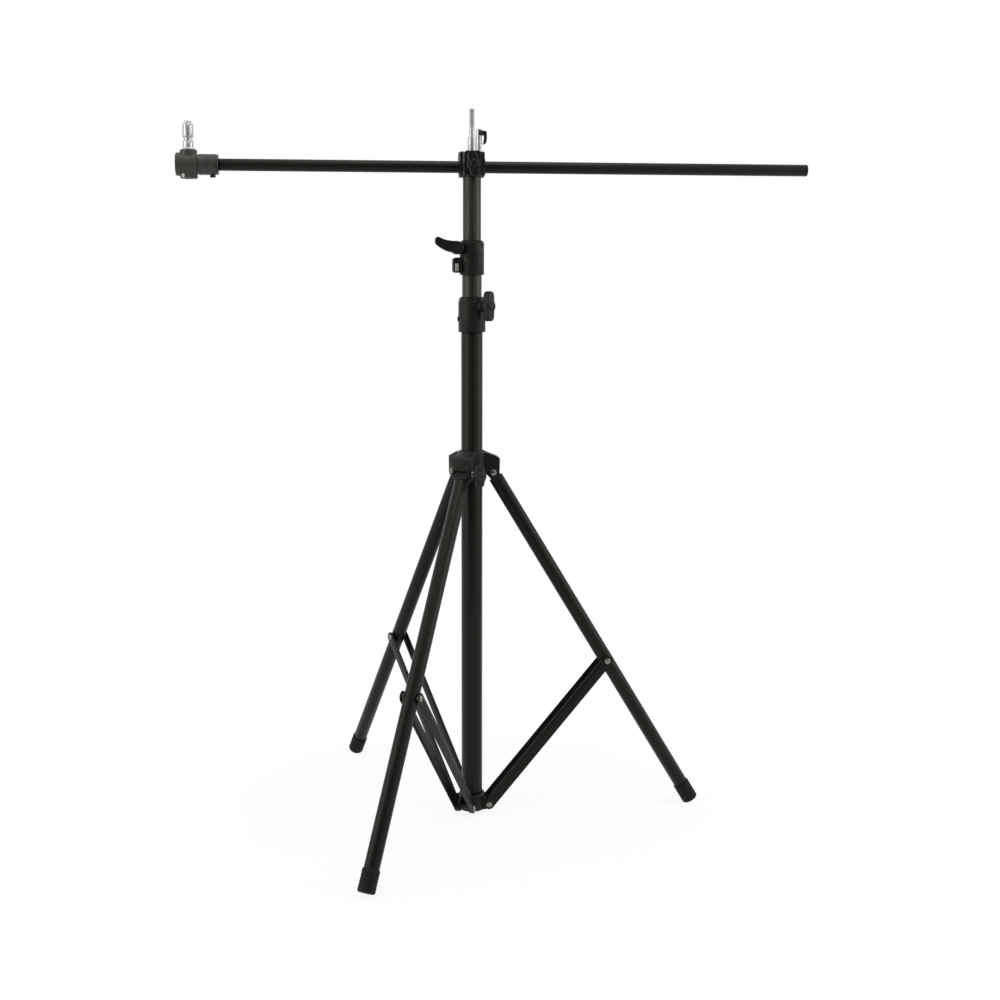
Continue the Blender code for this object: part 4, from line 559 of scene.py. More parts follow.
TILT_Z = 982.5 * MM
FOLD_KNOB_AZIMUTH, FOLD_KNOB_DROP = -82.0, -1.0 * MM
WING_HALF_WIDTH, WING_HUB_R, WING_DEPTH, WING_EDGE = 6.5 * MM, 9.5 * MM, 11.5 * MM, 1.9 * MM
NECK_R, NECK_LENGTH = 6.5 * MM, 3.5 * MM
FLUTE_R, FLUTE_SIDES, FLUTE_TURNS = 0.95 * MM, 16, (-58, -29, 0, 29, 58)
DISHED_CAP = ((6.6, -2.0), (6.6, 0.5), (6.1, 1.4), (5.2, 2.0), (4.4, 2.2), (4.0, 1.9), (3.6, 1.3))


def in_mm(pairs, base=0.0):
    """Rings or outline points that are written in millimetres, from a base height up."""
    return [(across * MM, base + up * MM) for across, up in pairs]


def turning_knob(wing_length):
    """A knob along Z whose neck starts at the origin and whose wing runs along X."""
    reach = wing_length / 2 - WING_HALF_WIDTH
    top = NECK_LENGTH + WING_DEPTH
    waist = math.degrees(math.asin(WING_HALF_WIDTH / WING_HUB_R))
    outline = curve((reach, 0), WING_HALF_WIDTH, -84, 84, 16)
    outline += curve((0, 0), WING_HUB_R, waist + 6, 174 - waist, 10)
    outline += curve((-reach, 0), WING_HALF_WIDTH, 96, 264, 16)
    outline += curve((0, 0), WING_HUB_R, 186 + waist, 354 - waist, 10)
    knob = plate(outline, NECK_LENGTH, top, WING_EDGE, 5)
    flute_reach = WING_HALF_WIDTH + 0.5 * MM
    for side in (-1, 1):
        for turn in FLUTE_TURNS:
            angle = math.radians(turn)
            spot = (side * (reach + flute_reach * math.cos(angle)), flute_reach * math.sin(angle), 0)
            cut_away(knob, rod(FLUTE_R, NECK_LENGTH - 1 * MM, top + 1 * MM, FLUTE_SIDES), at(spot))
    join(knob, soften(rod(NECK_R, 0, NECK_LENGTH + 2 * MM, BOSS_SIDES), CAST_EDGE, 3))
    join(knob, lathe(in_mm(DISHED_CAP, top), BOSS_SIDES))
    cut_away(knob, rod(SCREW_HOLE_R, -1 * MM, NECK_LENGTH + 5 * MM, HOLE_SIDES))
    return knob


WORN_NYLON = moulded_plastic("worn_black_nylon", (0.011, 0.011, 0.010), (0.030, 0.030, 0.028))

for node, body, finish, wing_length, axis, start, turn in (
        ("lower_lock_knob", "lower_knob", NYLON, 44 * MM, toward_knob, 25.8 * MM, 0),
        ("leg_lock_knob", "leg_knob", WORN_NYLON, 34 * MM,
         at((0, 0, PIVOT_Z + FOLD_KNOB_DROP), FOLD_KNOB_AZIMUTH, 90), 37.7 * MM, 0),
        ("tilt_lock_knob", "tilt_knob", NYLON, 38 * MM, at((0, 0, TILT_Z), -90.0, 90), 12.8 * MM, 10)):
    place = axis @ Matrix.Translation((0, 0, start)) @ at(azimuth=turn)
    settle(turning_knob(wing_length), f"{node}_moulded", body, finish, node, place)
refinish(ZINC, "lower_lock_screw", "leg_lock_screw", "tilt_bolt")


# Leg collar: the sliding die casting that folds the legs. A sleeve carries three clevises, each a
# roof that slopes outwards over two round-ended ears, and the boss of the fold knob.

SLIDER_R, SLIDER_BORE = 22.05 * MM, 18.55 * MM
SLIDER_LOW, SLIDER_HIGH, SLIDER_BEVEL = -9.0 * MM, 32.4 * MM, 2.6 * MM
CLEVIS_INNER, CLEVIS_OUTER, CLEVIS_TIP_R = 11.5 * MM, 14.5 * MM, 9.5 * MM
ROOF_START, ROOF_BEND, ROOF_REACH = 13.0 * MM, 21.0 * MM, PIVOT_R + 10.0 * MM
ROOF_SLOPE, ROOF_THICKNESS = 0.40, 3.5 * MM
LIP_X, LIP_Z = PIVOT_R + 8.7 * MM, 5.2 * MM
SLOT_START, SLOT_END, SLOT_LOW = SLIDER_R + 0.3 * MM, 52.0 * MM, -15.0 * MM
FOLD_BOSS_R = 7.5 * MM


def roof_height(reach):
    """Height of a clevis roof at this distance from the column's axis."""
    return SLIDER_HIGH - ROOF_SLOPE * (reach - COLUMN_R)


sleeve = lathe([(CORE_R, SLIDER_LOW), (SLIDER_R, SLIDER_LOW), (SLIDER_R, SLIDER_HIGH - SLIDER_BEVEL),
                (SLIDER_R - SLIDER_BEVEL, SLIDER_HIGH), (CORE_R, SLIDER_HIGH)])
soften(sleeve, CAST_EDGE, 3, sharper_than=30)
clevis_outline = [(ROOF_START, roof_height(ROOF_BEND)), (ROOF_BEND, roof_height(ROOF_BEND)),
                  (ROOF_REACH - 2 * MM, roof_height(ROOF_REACH - 2 * MM)),
                  (ROOF_REACH - 0.6 * MM, roof_height(ROOF_REACH) - 0.5 * MM),
                  (ROOF_REACH, roof_height(ROOF_REACH) - 2 * MM)]
clevis_outline += curve((PIVOT_R, 0), CLEVIS_TIP_R, 0, -180, 24) + [(ROOF_START, 0)]
slot_outline = [(SLOT_START, SLOT_LOW), (SLOT_END, SLOT_LOW), (SLOT_END, LIP_Z), (LIP_X, LIP_Z),
                (LIP_X, roof_height(LIP_X) - ROOF_THICKNESS),
                (SLOT_START, roof_height(SLIDER_R) - ROOF_THICKNESS)]
for azimuth in LEG_AZIMUTHS:
    clevis = plate(clevis_outline, -CLEVIS_OUTER, CLEVIS_OUTER, 0.9 * MM)
    join(sleeve, clevis, at(azimuth=azimuth) @ STANDING)
toward_knob = at((0, 0, FOLD_KNOB_DROP), FOLD_KNOB_AZIMUTH, 90)
boss = rod(FOLD_BOSS_R, 15 * MM, 28 * MM, BOSS_SIDES)
join(sleeve, soften(boss, BOSS_EDGE, 3), toward_knob)
cut_away(sleeve, rod(SLIDER_BORE, SLIDER_LOW - 5 * MM, SLIDER_HIGH + 5 * MM))
for azimuth in LEG_AZIMUTHS:
    slot = soften(plate(slot_outline, -CLEVIS_INNER, CLEVIS_INNER), BOSS_EDGE, 3)
    cut_away(sleeve, slot, at(azimuth=azimuth) @ STANDING)
cut_away(sleeve, rod(SCREW_HOLE_R, 14 * MM, 32 * MM, HOLE_SIDES), toward_knob)
settle(sleeve, "leg_collar_casting", "leg_slider", CASTING, "leg_collar", at((0, 0, PIVOT_Z)))


# Legs: 22 mm painted tubes, each with a cast eye in its top, a ribbed rubber foot and a plated
# pin with two spacer shoulders where its pair of struts is riveted on.

SPREAD = 31.07
FINE_EDGE = 0.2 * MM
LEG_R, LEG_BORE, LEG_TOP, LEG_END = 11.0 * MM, 10.0 * MM, -14.3 * MM, -610.7 * MM
EYE_R, EYE_HALF_WIDTH, EYE_PLUG_R = 8.0 * MM, 11.2 * MM, 9.7 * MM
SOLE = -617.0 * MM
SOLE_ROUND = ((7, 0), (10.2, 0.15), (11.4, 0.75), (12.2, 1.7), (12.5, 3), (12.5, 9))
FOOT_GROOVE = ((12.5, 0), (12.0, 0.5), (12.0, 1.3), (12.5, 1.8))
GROOVES, FIRST_GROOVE, GROOVE_STEP = 4, 10.0 * MM, 4.5 * MM
FOOT_SOCKET = ((12.5, 31), (12.0, 32), (11.3, 32), (11.3, 6), (7, 6))
STRUT_PIN_REACH = 345.7 * MM
STRUT_PIN = ((5.5, -12.6), (5.5, -11.3), (3, -11.3), (3, 11.3), (5.5, 11.3), (5.5, 12.6))


def black_rubber():
    """Moulded rubber: dull, finely textured, with pale floor dust near the ground."""
    rubber = Recipe(bpy.data.materials.new("black_rubber"))
    place = rubber.place()
    height = rubber.node("ShaderNodeSeparateXYZ", None, {0: place}, out="Z")
    near_floor = 1 - rubber.between(height, -0.003, 0.016)
    dust = rubber.between(rubber.noise(place, 180, detail=4, roughness=0.7), 0.45, 0.75) * near_floor
    rubber.feed(rubber.shader, {
        "Base Color": rubber.blend(dust * 0.35, (0.0048, 0.0048, 0.0043), (0.070, 0.067, 0.060)),
        "Roughness": dust * 0.2 + 0.6,
        "Normal": rubber.bump(rubber.noise(place, 1300, detail=2), 0.08 * MM, 0.6),
        "Specular IOR Level": 0.17})
    return rubber.owner, "rubber"


RUBBER = black_rubber()

for number, azimuth in enumerate(LEG_AZIMUTHS, 1):
    body = f"leg_{number}"
    leg = out_from_column(azimuth, PIVOT_R, PIVOT_Z) @ at(lean=-SPREAD)
    settle(pipe(LEG_R, LEG_BORE, LEG_END, LEG_TOP, SMALL_EDGE), f"leg_{number}_tube", body,
           tube_paint(f"satin_paint_leg_{number}", azimuth, -SPREAD), f"leg_tube_{number}", leg)

    fitting = lathe([(EYE_PLUG_R, -33 * MM), (EYE_PLUG_R, -14 * MM), (LEG_R, -14 * MM), (LEG_R, -10 * MM)])
    soften(fitting, 0.5 * MM, 3)
    eye_outline = curve((0, 0), EYE_R, 0, 180, 28) + [(-EYE_R, -11 * MM), (EYE_R, -11 * MM)]
    join(fitting, plate(eye_outline, -EYE_HALF_WIDTH, EYE_HALF_WIDTH, CAST_EDGE), STANDING)
    settle(fitting, f"leg_{number}_eye", body, CASTING, f"leg_top_fitting_{number}", leg)

    section = in_mm(SOLE_ROUND, SOLE)
    for groove in range(GROOVES):
        section += in_mm(FOOT_GROOVE, SOLE + FIRST_GROOVE + groove * GROOVE_STEP)
    foot = turned_to(lathe(section + in_mm(FOOT_SOCKET, SOLE)), leg)
    bpy.ops.object.mode_set(mode="EDIT")
    bpy.ops.mesh.select_all(action="SELECT")
    bpy.ops.mesh.bisect(plane_co=(0, 0, FLOOR_Z), plane_no=(0, 0, 1), use_fill=True, clear_inner=True)
    bpy.ops.object.mode_set(mode="OBJECT")
    settle(foot, f"leg_{number}_rubber_foot", body, RUBBER, f"leg_foot_{number}")

    pin = soften(lathe(in_mm(STRUT_PIN), SMALL_SIDES), FINE_EDGE)
    settle(pin, f"strut_pin_{number}_turned", body, ZINC, f"strut_pin_{number}",
           leg @ Matrix.Translation((0, 0, -STRUT_PIN_REACH)) @ CROSSWISE)


# Struts: pairs of flat steel bars with round ends, blanked and painted like the tubes. The rivet
# that joins a pair to its leg shows as a plated dome on each bar's outer face.

STRUT_LENGTH, STRUT_LEAN = 289.6 * MM, 39.42
STRUT_INNER, STRUT_OUTER, STRUT_HALF_WIDTH = 12.9 * MM, 14.9 * MM, 8.25 * MM
STRUT_HEAD_BASE, STRUT_HEAD_NECK_R = STRUT_OUTER - 0.05 * MM, 2.4 * MM

for number, azimuth in enumerate(LEG_AZIMUTHS, 1):
    body = f"strut_{number}"
    strut = out_from_column(azimuth, RIVET_REACH, RIVET_Z) @ at(lean=STRUT_LEAN)
    paint = tube_paint(f"satin_paint_strut_{number}", azimuth, STRUT_LEAN)
    for letter, turn in (("a", 180), ("b", 0)):
        side = strut @ at(azimuth=turn)
        outline = curve((0, 0), STRUT_HALF_WIDTH, 180, 360, 24)
        outline += curve((0, STRUT_LENGTH), STRUT_HALF_WIDTH, 0, 180, 24)
        settle(plate(outline, STRUT_INNER, STRUT_OUTER, 0.4 * MM, 2), f"strut_{number}_{letter}_bar",
               body, paint, f"strut_bar_{number}_{letter}", side @ STANDING)
        neck = [(STRUT_HEAD_NECK_R, STRUT_OUTER - 1 * MM), (STRUT_HEAD_NECK_R, STRUT_HEAD_BASE)]
        settle(lathe(neck + dome(STRUT_HEAD_BASE), SMALL_SIDES), f"strut_{number}_{letter}_rivet_head",
               body, ZINC, place=side @ Matrix.Translation((0, 0, STRUT_LENGTH)) @ STANDING)


# Second tube and its liner: a drawn tube in a glossier black than the column's, which slides in a
# thin plastic bush. The bush's lip shows above the lower collar.

MID_R, MID_BORE = 14.6 * MM, 13.8 * MM
GLOSSY_BLACK = (0.0072, 0.0075, 0.0062), (0.0125, 0.0128, 0.0110)
INNER_PAINT = tube_paint("satin_paint_inner_tubes", shine=0.38, tones=GLOSSY_BLACK)

low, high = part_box("mid_tube")
settle(pipe(MID_R, MID_BORE, low.z, high.z, FINE_EDGE), "second_column_tube", "mid_section",
       INNER_PAINT, "mid_tube")


def lipped_liner(bore, outer, base, collar_top, lip_r):
    """A thin bush with a lip above its collar."""
    lip = collar_top + PLAY
    liner = lathe([(bore, base), (outer, base), (outer, lip), (lip_r, lip), (lip_r, lip + 1.5 * MM),
                   (bore, lip + 1.5 * MM)], hollow=True)
    return soften(liner, SMALL_EDGE)


settle(lipped_liner(14.9 * MM, COLUMN_R, 764.3 * MM, LOWER_COLLAR_HIGH, lip_r=17.7 * MM),
       "lower_collar_liner", "mid_guide", NYLON, "mid_liner")


# Upper lock collar: a split casting on the second tube's top. Its lower ears stay bolted to that
# tube by a barrel bolt, and a wing lever closes the upper ears on the third tube.

UPPER_COLLAR_LOW, UPPER_COLLAR_HIGH, UPPER_BEVEL = 824.0 * MM, 872.0 * MM, 1.5 * MM
UPPER_COLLAR_BORE, UPPER_COLLAR_R = 14.9 * MM, 18.0 * MM
EAR_Y, EAR_REACH, EAR_ROOT, EAR_ROUND = 11.9 * MM, 28.6 * MM, 15.9 * MM, 4.0 * MM
EAR_SPANS = ((827.0 * MM, 849.0 * MM), (854.0 * MM, 870.0 * MM))
EAR_BOLT_X, LEVER_Z, BARREL_BOLT_Z = -23.7 * MM, 863.0 * MM, 834.5 * MM
SLIT_HALF_WIDTH = 0.7 * MM
BARREL_BOLT_R, BARREL_BOLT_HOLE_R, NUT_R = 2.0 * MM, 2.3 * MM, 3.7 * MM
BARREL_R, BARREL_HALF, BARREL_DROP = 2.6 * MM, 5.75 * MM, 2.6 * MM
BOLT_SEAT = EAR_Y + PLAY

collar = lathe([(UPPER_COLLAR_BORE, UPPER_COLLAR_LOW), (UPPER_COLLAR_R, UPPER_COLLAR_LOW),
                (UPPER_COLLAR_R, UPPER_COLLAR_HIGH - UPPER_BEVEL),
                (UPPER_COLLAR_R - UPPER_BEVEL, UPPER_COLLAR_HIGH),
                (UPPER_COLLAR_BORE, UPPER_COLLAR_HIGH)], hollow=True)
soften(collar, 0.5 * MM, 3, sharper_than=30)
for base, top in EAR_SPANS:
    outline = [(-EAR_ROOT, base)]
    outline += curve((-EAR_REACH + EAR_ROUND, base + EAR_ROUND), EAR_ROUND, 270, 180, 10)
    outline += curve((-EAR_REACH + EAR_ROUND, top - EAR_ROUND), EAR_ROUND, 180, 90, 10)
    outline += [(-EAR_ROOT, top)]
    join(collar, plate(outline, -EAR_Y, EAR_Y, 1.1 * MM, 4), STANDING)
slit_low, slit_high = UPPER_COLLAR_LOW - 2 * MM, UPPER_COLLAR_HIGH + 2 * MM
slit_outline = [(-31 * MM, slit_low), (-MID_BORE, slit_low), (-MID_BORE, slit_high), (-31 * MM, slit_high)]
cut_away(collar, plate(slit_outline, -SLIT_HALF_WIDTH, SLIT_HALF_WIDTH), STANDING)
for height, radius in ((LEVER_Z, SCREW_HOLE_R), (BARREL_BOLT_Z, BARREL_BOLT_HOLE_R)):
    cut_away(collar, rod(radius, -20 * MM, 20 * MM, HOLE_SIDES), at((EAR_BOLT_X, 0, height), 90, 90))
settle(collar, "upper_collar_casting", "mid_section", CASTING, "upper_lock_collar")

settle(lipped_liner(13.7 * MM, MID_R, 851.3 * MM, UPPER_COLLAR_HIGH, lip_r=16.5 * MM),
       "upper_collar_liner", "top_guide", NYLON, "top_liner")

bolt = rod(BARREL_BOLT_R, -BOLT_SEAT - BARREL_DROP, BOLT_SEAT, HOLE_SIDES)
join(bolt, soften(rod(NUT_R, BOLT_SEAT, BOLT_SEAT + 2 * MM, HEXAGON), SMALL_EDGE))
barrel = soften(rod(BARREL_R, -BARREL_HALF, BARREL_HALF, SMALL_SIDES), 0.35 * MM, 3)
join(bolt, barrel, at((0, 0, -BOLT_SEAT - BARREL_DROP), lean=90))
settle(bolt, "clamp_barrel_bolt", "mid_section", ZINC, "upper_clamp_bolt",
       at((EAR_BOLT_X, 0, BARREL_BOLT_Z), 90, 90))


# Wing lever: a moulded lever with a round hub and an arm that rises to an upturned tip. Its face
# is sunk inside a rim, and its bolt runs back through both ears.

LEVER_LENGTH, LEVER_HUB = 32.5 * MM, 9.5 * MM
LEVER_NEAR, LEVER_FAR = 12.2 * MM, 22.2 * MM
LEVER_RIM, LEVER_SINK = 1.3 * MM, 0.9 * MM
LEVER_BOLT_R, LEVER_BOLT_HEAD_R, LEVER_SOCKET_R, LEVER_CAP_R = 2.5 * MM, 4.5 * MM, 2.0 * MM, 5.2 * MM
TIP_LOW = (-LEVER_LENGTH + 0.8 * MM, 5.4 * MM)
TIP_TOP = (-LEVER_LENGTH + 3.8 * MM, 15.6 * MM)


def bent(start, first, second, end, count=14):
    """Points along a cubic bend, without its start."""
    points = []
    for step in range(1, count + 1):
        t = step / count
        pulls = ((1 - t) ** 3, 3 * t * (1 - t) ** 2, 3 * t * t * (1 - t), t ** 3)
        corners = list(zip(pulls, (start, first, second, end)))
        points.append(tuple(sum(pull * corner[axis] for pull, corner in corners) for axis in (0, 1)))
    return points


hub = curve((0, 0), LEVER_HUB, 90, -130, 32)
under = bent(hub[-1], (-0.45 * LEVER_LENGTH, -0.20 * LEVER_LENGTH),
             (-0.78 * LEVER_LENGTH, -0.04 * LEVER_LENGTH), TIP_LOW)
tip = bent(TIP_LOW, (-LEVER_LENGTH - 0.5 * MM, 8.6 * MM), (-LEVER_LENGTH - 0.3 * MM, 14.8 * MM), TIP_TOP, 8)
over = bent(TIP_TOP, (-0.76 * LEVER_LENGTH, 15.9 * MM), (-0.66 * LEVER_LENGTH, LEVER_HUB), hub[0])
lever = plate(hub + under + tip + over[:-1], LEVER_NEAR, LEVER_FAR, LEVER_RIM, 5)
bpy.context.tool_settings.mesh_select_mode = (False, False, True)
front = max((face for face in lever.data.polygons if face.normal.z > 0.99), key=lambda face: face.area)
for face in lever.data.polygons:
    face.select = face == front
alone(lever)
bpy.ops.object.mode_set(mode="EDIT")
bpy.ops.mesh.inset(thickness=LEVER_RIM)
bpy.ops.mesh.extrude_region_move(TRANSFORM_OT_translate={"value": (0, 0, -LEVER_SINK)})
bpy.ops.object.mode_set(mode="OBJECT")
bpy.context.tool_settings.mesh_select_mode = (True, False, False)
cap = rod(LEVER_CAP_R, LEVER_FAR - 3 * MM, LEVER_FAR - 0.2 * MM, BOSS_SIDES)
join(lever, soften(cap, 0.5 * MM, 3))
cut_away(lever, rod(SCREW_HOLE_R, 10 * MM, LEVER_FAR - 5 * MM, HOLE_SIDES))
settle(lever, "wing_lever", "upper_lever", NYLON, "upper_lock_lever",
       at((EAR_BOLT_X, 0, LEVER_Z)) @ STANDING)

bolt = lathe([(LEVER_BOLT_R, -17 * MM), (LEVER_BOLT_R, BOLT_SEAT), (LEVER_BOLT_HEAD_R, BOLT_SEAT),
              (LEVER_BOLT_HEAD_R, BOLT_SEAT + 2.5 * MM)], SMALL_SIDES)
soften(bolt, 0.3 * MM, 3)
cut_away(bolt, rod(LEVER_SOCKET_R, BOLT_SEAT + 1 * MM, BOLT_SEAT + 4 * MM, HEXAGON))
settle(bolt, "lever_bolt", "upper_lever", ZINC, "upper_lever_bolt", at((EAR_BOLT_X, 0, LEVER_Z), 90, 90))


# Third tube and tilt head: a cast block plugged into the tube, with rounded shoulders and a round
# friction face on its front and back. A rubber washer keeps the boom sleeve from slipping.

TOP_R, TOP_BORE = 13.4 * MM, 12.5 * MM
HEAD_LOW, HEAD_HIGH, HEAD_HALF, HEAD_SHOULDER = 967.8 * MM, 1002.5 * MM, 12.5 * MM, 4.5 * MM
FACE_INSET, FRICTION_R, TILT_HOLE_R = 0.8 * MM, 13.0 * MM, 4.3 * MM
HEAD_PLUG = ((12.2, 943.5), (12.2, 965.3), (14, 965.3), (14, 968.6))
WASHER_NEAR, WASHER_FAR = HEAD_HALF + PLAY, 14.3 * MM
TILT_AXIS = at((0, 0, TILT_Z), 90, 90)

low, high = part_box("top_tube")
settle(pipe(TOP_R, TOP_BORE, low.z, high.z, FINE_EDGE), "third_column_tube", "top_section",
       INNER_PAINT, "top_tube")

outline = [(-HEAD_HALF, HEAD_LOW), (HEAD_HALF, HEAD_LOW)]
outline += curve((HEAD_HALF - HEAD_SHOULDER, HEAD_HIGH - HEAD_SHOULDER), HEAD_SHOULDER, 0, 90, 12)
outline += curve((-HEAD_HALF + HEAD_SHOULDER, HEAD_HIGH - HEAD_SHOULDER), HEAD_SHOULDER, 90, 180, 12)
head = turned_to(plate(outline, -HEAD_HALF + FACE_INSET, HEAD_HALF - FACE_INSET, 1.0 * MM, 4), STANDING)
join(head, soften(rod(FRICTION_R, -HEAD_HALF, HEAD_HALF), 0.5 * MM, 3), TILT_AXIS)
join(head, soften(lathe(in_mm(HEAD_PLUG)), 0.4 * MM, 3))
cut_away(head, rod(TILT_HOLE_R, -20 * MM, 20 * MM, SMALL_SIDES), TILT_AXIS)
settle(head, "tilt_head_casting", "top_section", CASTING, "tilt_head")

washer = lathe([(TILT_HOLE_R, WASHER_NEAR), (FRICTION_R, WASHER_NEAR), (FRICTION_R, WASHER_FAR),
                (TILT_HOLE_R, WASHER_FAR)], hollow=True)
settle(soften(washer, SMALL_EDGE), "friction_washer", "top_section", RUBBER, "tilt_washer", TILT_AXIS)


# Light stud: turned steel in bright chrome, screwed into the head's top. A plain shoulder carries
# a thinner pin that is threaded near its end for a small lamp.

STUD_FOOT, STUD_BASE, STUD_TOP = 994.5 * MM, 1002.8 * MM, 1063.0 * MM
STUD_R = 4.0 * MM
STUD_SHOULDER = ((6.2, 1002.8), (6.2, 1021.7), (5.2, 1022.5), (4.0, 1022.6))
THREAD_START, THREAD_PITCH, THREAD_TURNS = 1036.0 * MM, 1.25 * MM, 20
ONE_THREAD = ((3.45, 0.45), (3.45, 0.6), (4.0, 1.05), (4.0, 1.2))


def bright_chrome():
    """Chrome plate with soft turning marks and a few dull finger smears."""
    chrome = Recipe(bpy.data.materials.new("bright_chrome"))
    place = chrome.place()
    rings = chrome.node("ShaderNodeMapping", None, {"Vector": place, "Scale": (0.06, 0.06, 1)})
    marks = chrome.noise(rings, 2400, detail=2)
    smears = chrome.between(chrome.noise(place, 130, detail=4, roughness=0.6), 0.45, 0.7)
    chrome.feed(chrome.shader, {
        "Base Color": chrome.blend(smears, (0.52, 0.52, 0.51), (0.40, 0.40, 0.39)),
        "Metallic": 0.62,
        "Roughness": smears * 0.12 + marks * 0.06 + 0.16,
        "Normal": chrome.bump(marks, 0.02 * MM, 0.4)})
    return chrome.owner, "chrome"


CHROME = bright_chrome()

section = [(STUD_R, STUD_FOOT), (STUD_R, STUD_BASE)] + in_mm(STUD_SHOULDER) + [(STUD_R, THREAD_START)]
for turn in range(THREAD_TURNS):
    section += in_mm(ONE_THREAD, THREAD_START + turn * THREAD_PITCH)
section += [(STUD_R, STUD_TOP - 1 * MM), (STUD_R - 1 * MM, STUD_TOP)]
settle(lathe(section, BOSS_SIDES), "threaded_light_stud", "top_section", CHROME, "light_stud")


# Boom sleeve: a waisted casting behind the tilt head with a ring at each end, bored for the boom.
# A chrome screw down through its top grips the boom, and a plastic liner keeps the boom's paint.

BOOM_Y = 31.0 * MM
SLEEVE_LEFT, SLEEVE_RIGHT, SLEEVE_BORE = -16.0 * MM, 21.0 * MM, 10.65 * MM
SLEEVE_FACE = (14.6 * MM, 19.5 * MM)
WAIST_R, WAIST_TOP = 14.2 * MM, 20.5 * MM
RING_R, RING_TOP, RING_WIDTH = 15.5 * MM, 21.8 * MM, 6.6 * MM
LINER_BORE, LINER_R, LINER_LIP_R, LINER_LIP = 9.05 * MM, 10.35 * MM, 12.5 * MM, SLEEVE_RIGHT + PLAY
CLAMP_X, CLAMP_SEAT = 13.8 * MM, RING_TOP + PLAY
CLAMP_SHANK_R, CLAMP_HEAD_R, CLAMP_TOP = 4.0 * MM, 4.6 * MM, CLAMP_SEAT + 33.5 * MM
CLAMP_GROOVE = ((4.6, 0), (4.2, 0.4), (4.2, 1.6), (4.6, 2.0))
HANDLE_TOP = CLAMP_SEAT + 31.0 * MM
HANDLE_HUB_LOW, HANDLE_FOOT, HANDLE_R = HANDLE_TOP - 7.0 * MM, HANDLE_TOP - 20.0 * MM, 7.0 * MM
ARM_HALF_WIDTH, HANDLE_EDGE = 4.0 * MM, 0.6 * MM
ARM_BACK = ((8.5, -0.3), (10.2, -1.0), (11.2, -2.6), (11.5, -5), (11.5, -12), (11.0, -15.5))
ARM_HOOK = ((9.9, 1.4), (8.4, 0), (6.8, 0.4), (6.3, 1.6), (7.1, 5.5))
ARM_FRONT = ((7.4, -12), (7.4, -7), (5, -6.4), (5, -0.5))
ALONG_X = Matrix(((0, 0, 1, 0), (1, 0, 0, 0), (0, 1, 0, 0), (0, 0, 0, 1)))  # an outline faces along +X
ALONG_BOOM = at((0, BOOM_Y, TILT_Z), lean=90)
AT_CLAMP = at((CLAMP_X, BOOM_Y, TILT_Z))


def sleeve_section(radius, top, corner=5.0 * MM):
    """A round-bottomed outline about the boom with a flat top between rounded corners."""
    outline = curve((BOOM_Y, 0), radius, 180, 360, 40)
    outline += curve((BOOM_Y + radius - corner, top - corner), corner, 0, 90, 10)
    return outline + curve((BOOM_Y - radius + corner, top - corner), corner, 90, 180, 10)


waist_outline = sleeve_section(WAIST_R, WAIST_TOP)
sleeve = turned_to(plate(waist_outline, SLEEVE_LEFT + 1 * MM, SLEEVE_RIGHT - 1 * MM), ALONG_X)
for left in (SLEEVE_LEFT, SLEEVE_RIGHT - RING_WIDTH):
    join(sleeve, plate(sleeve_section(RING_R, RING_TOP), left, left + RING_WIDTH, 0.8 * MM, 4), ALONG_X)
join(sleeve, soften(rod(FRICTION_R, *SLEEVE_FACE), 0.4 * MM), CROSSWISE)
cut_away(sleeve, rod(SLEEVE_BORE, -30 * MM, 30 * MM), at((0, BOOM_Y, 0), lean=90))
cut_away(sleeve, rod(TILT_HOLE_R, 0, 30 * MM, SMALL_SIDES), at((CLAMP_X, BOOM_Y, 0)))
cut_away(sleeve, rod(TILT_HOLE_R, 10 * MM, 19.1 * MM, SMALL_SIDES), CROSSWISE)
settle(sleeve, "boom_sleeve_casting", "clamp_sleeve", CASTING, "boom_sleeve", at((0, 0, TILT_Z)))

liner = lathe([(LINER_BORE, SLEEVE_LEFT), (LINER_R, SLEEVE_LEFT), (LINER_R, LINER_LIP),
               (LINER_LIP_R, LINER_LIP), (LINER_LIP_R, SLEEVE_RIGHT + 1.5 * MM),
               (LINER_BORE, SLEEVE_RIGHT + 1.5 * MM)], hollow=True)
settle(soften(liner, FINE_EDGE), "boom_sleeve_liner", "boom_guide", NYLON, "boom_liner", ALONG_BOOM)

section = [(CLAMP_SHANK_R, SLEEVE_BORE), (CLAMP_SHANK_R, CLAMP_SEAT), (CLAMP_HEAD_R, CLAMP_SEAT)]
section += in_mm(CLAMP_GROOVE, CLAMP_SEAT + 20 * MM)
section += [(CLAMP_HEAD_R, CLAMP_TOP - 0.8 * MM), (CLAMP_HEAD_R - 0.8 * MM, CLAMP_TOP)]
settle(lathe(section, BOSS_SIDES), "chrome_clamp_screw", "boom_lock", CHROME, "boom_lock_screw", AT_CLAMP)

handle = plate(curve((0, 0), HANDLE_R, -94, 94, 28), HANDLE_HUB_LOW, HANDLE_TOP, HANDLE_EDGE)
arm_outline = in_mm(ARM_BACK, HANDLE_TOP) + in_mm(ARM_HOOK, HANDLE_FOOT) + in_mm(ARM_FRONT, HANDLE_TOP)
join(handle, plate(arm_outline, -ARM_HALF_WIDTH, ARM_HALF_WIDTH, HANDLE_EDGE), STANDING)
cut_away(handle, rod(CLAMP_HEAD_R + PLAY, HANDLE_FOOT - 5 * MM, HANDLE_TOP + 5 * MM, BOSS_SIDES))
settle(handle, "clamp_screw_handle", "boom_lock", NYLON, "boom_lock_handle", AT_CLAMP)


# Boom: a 17.5 mm painted aluminium tube that slides and turns in the sleeve, with a thin plastic
# cap pushed into its right end.

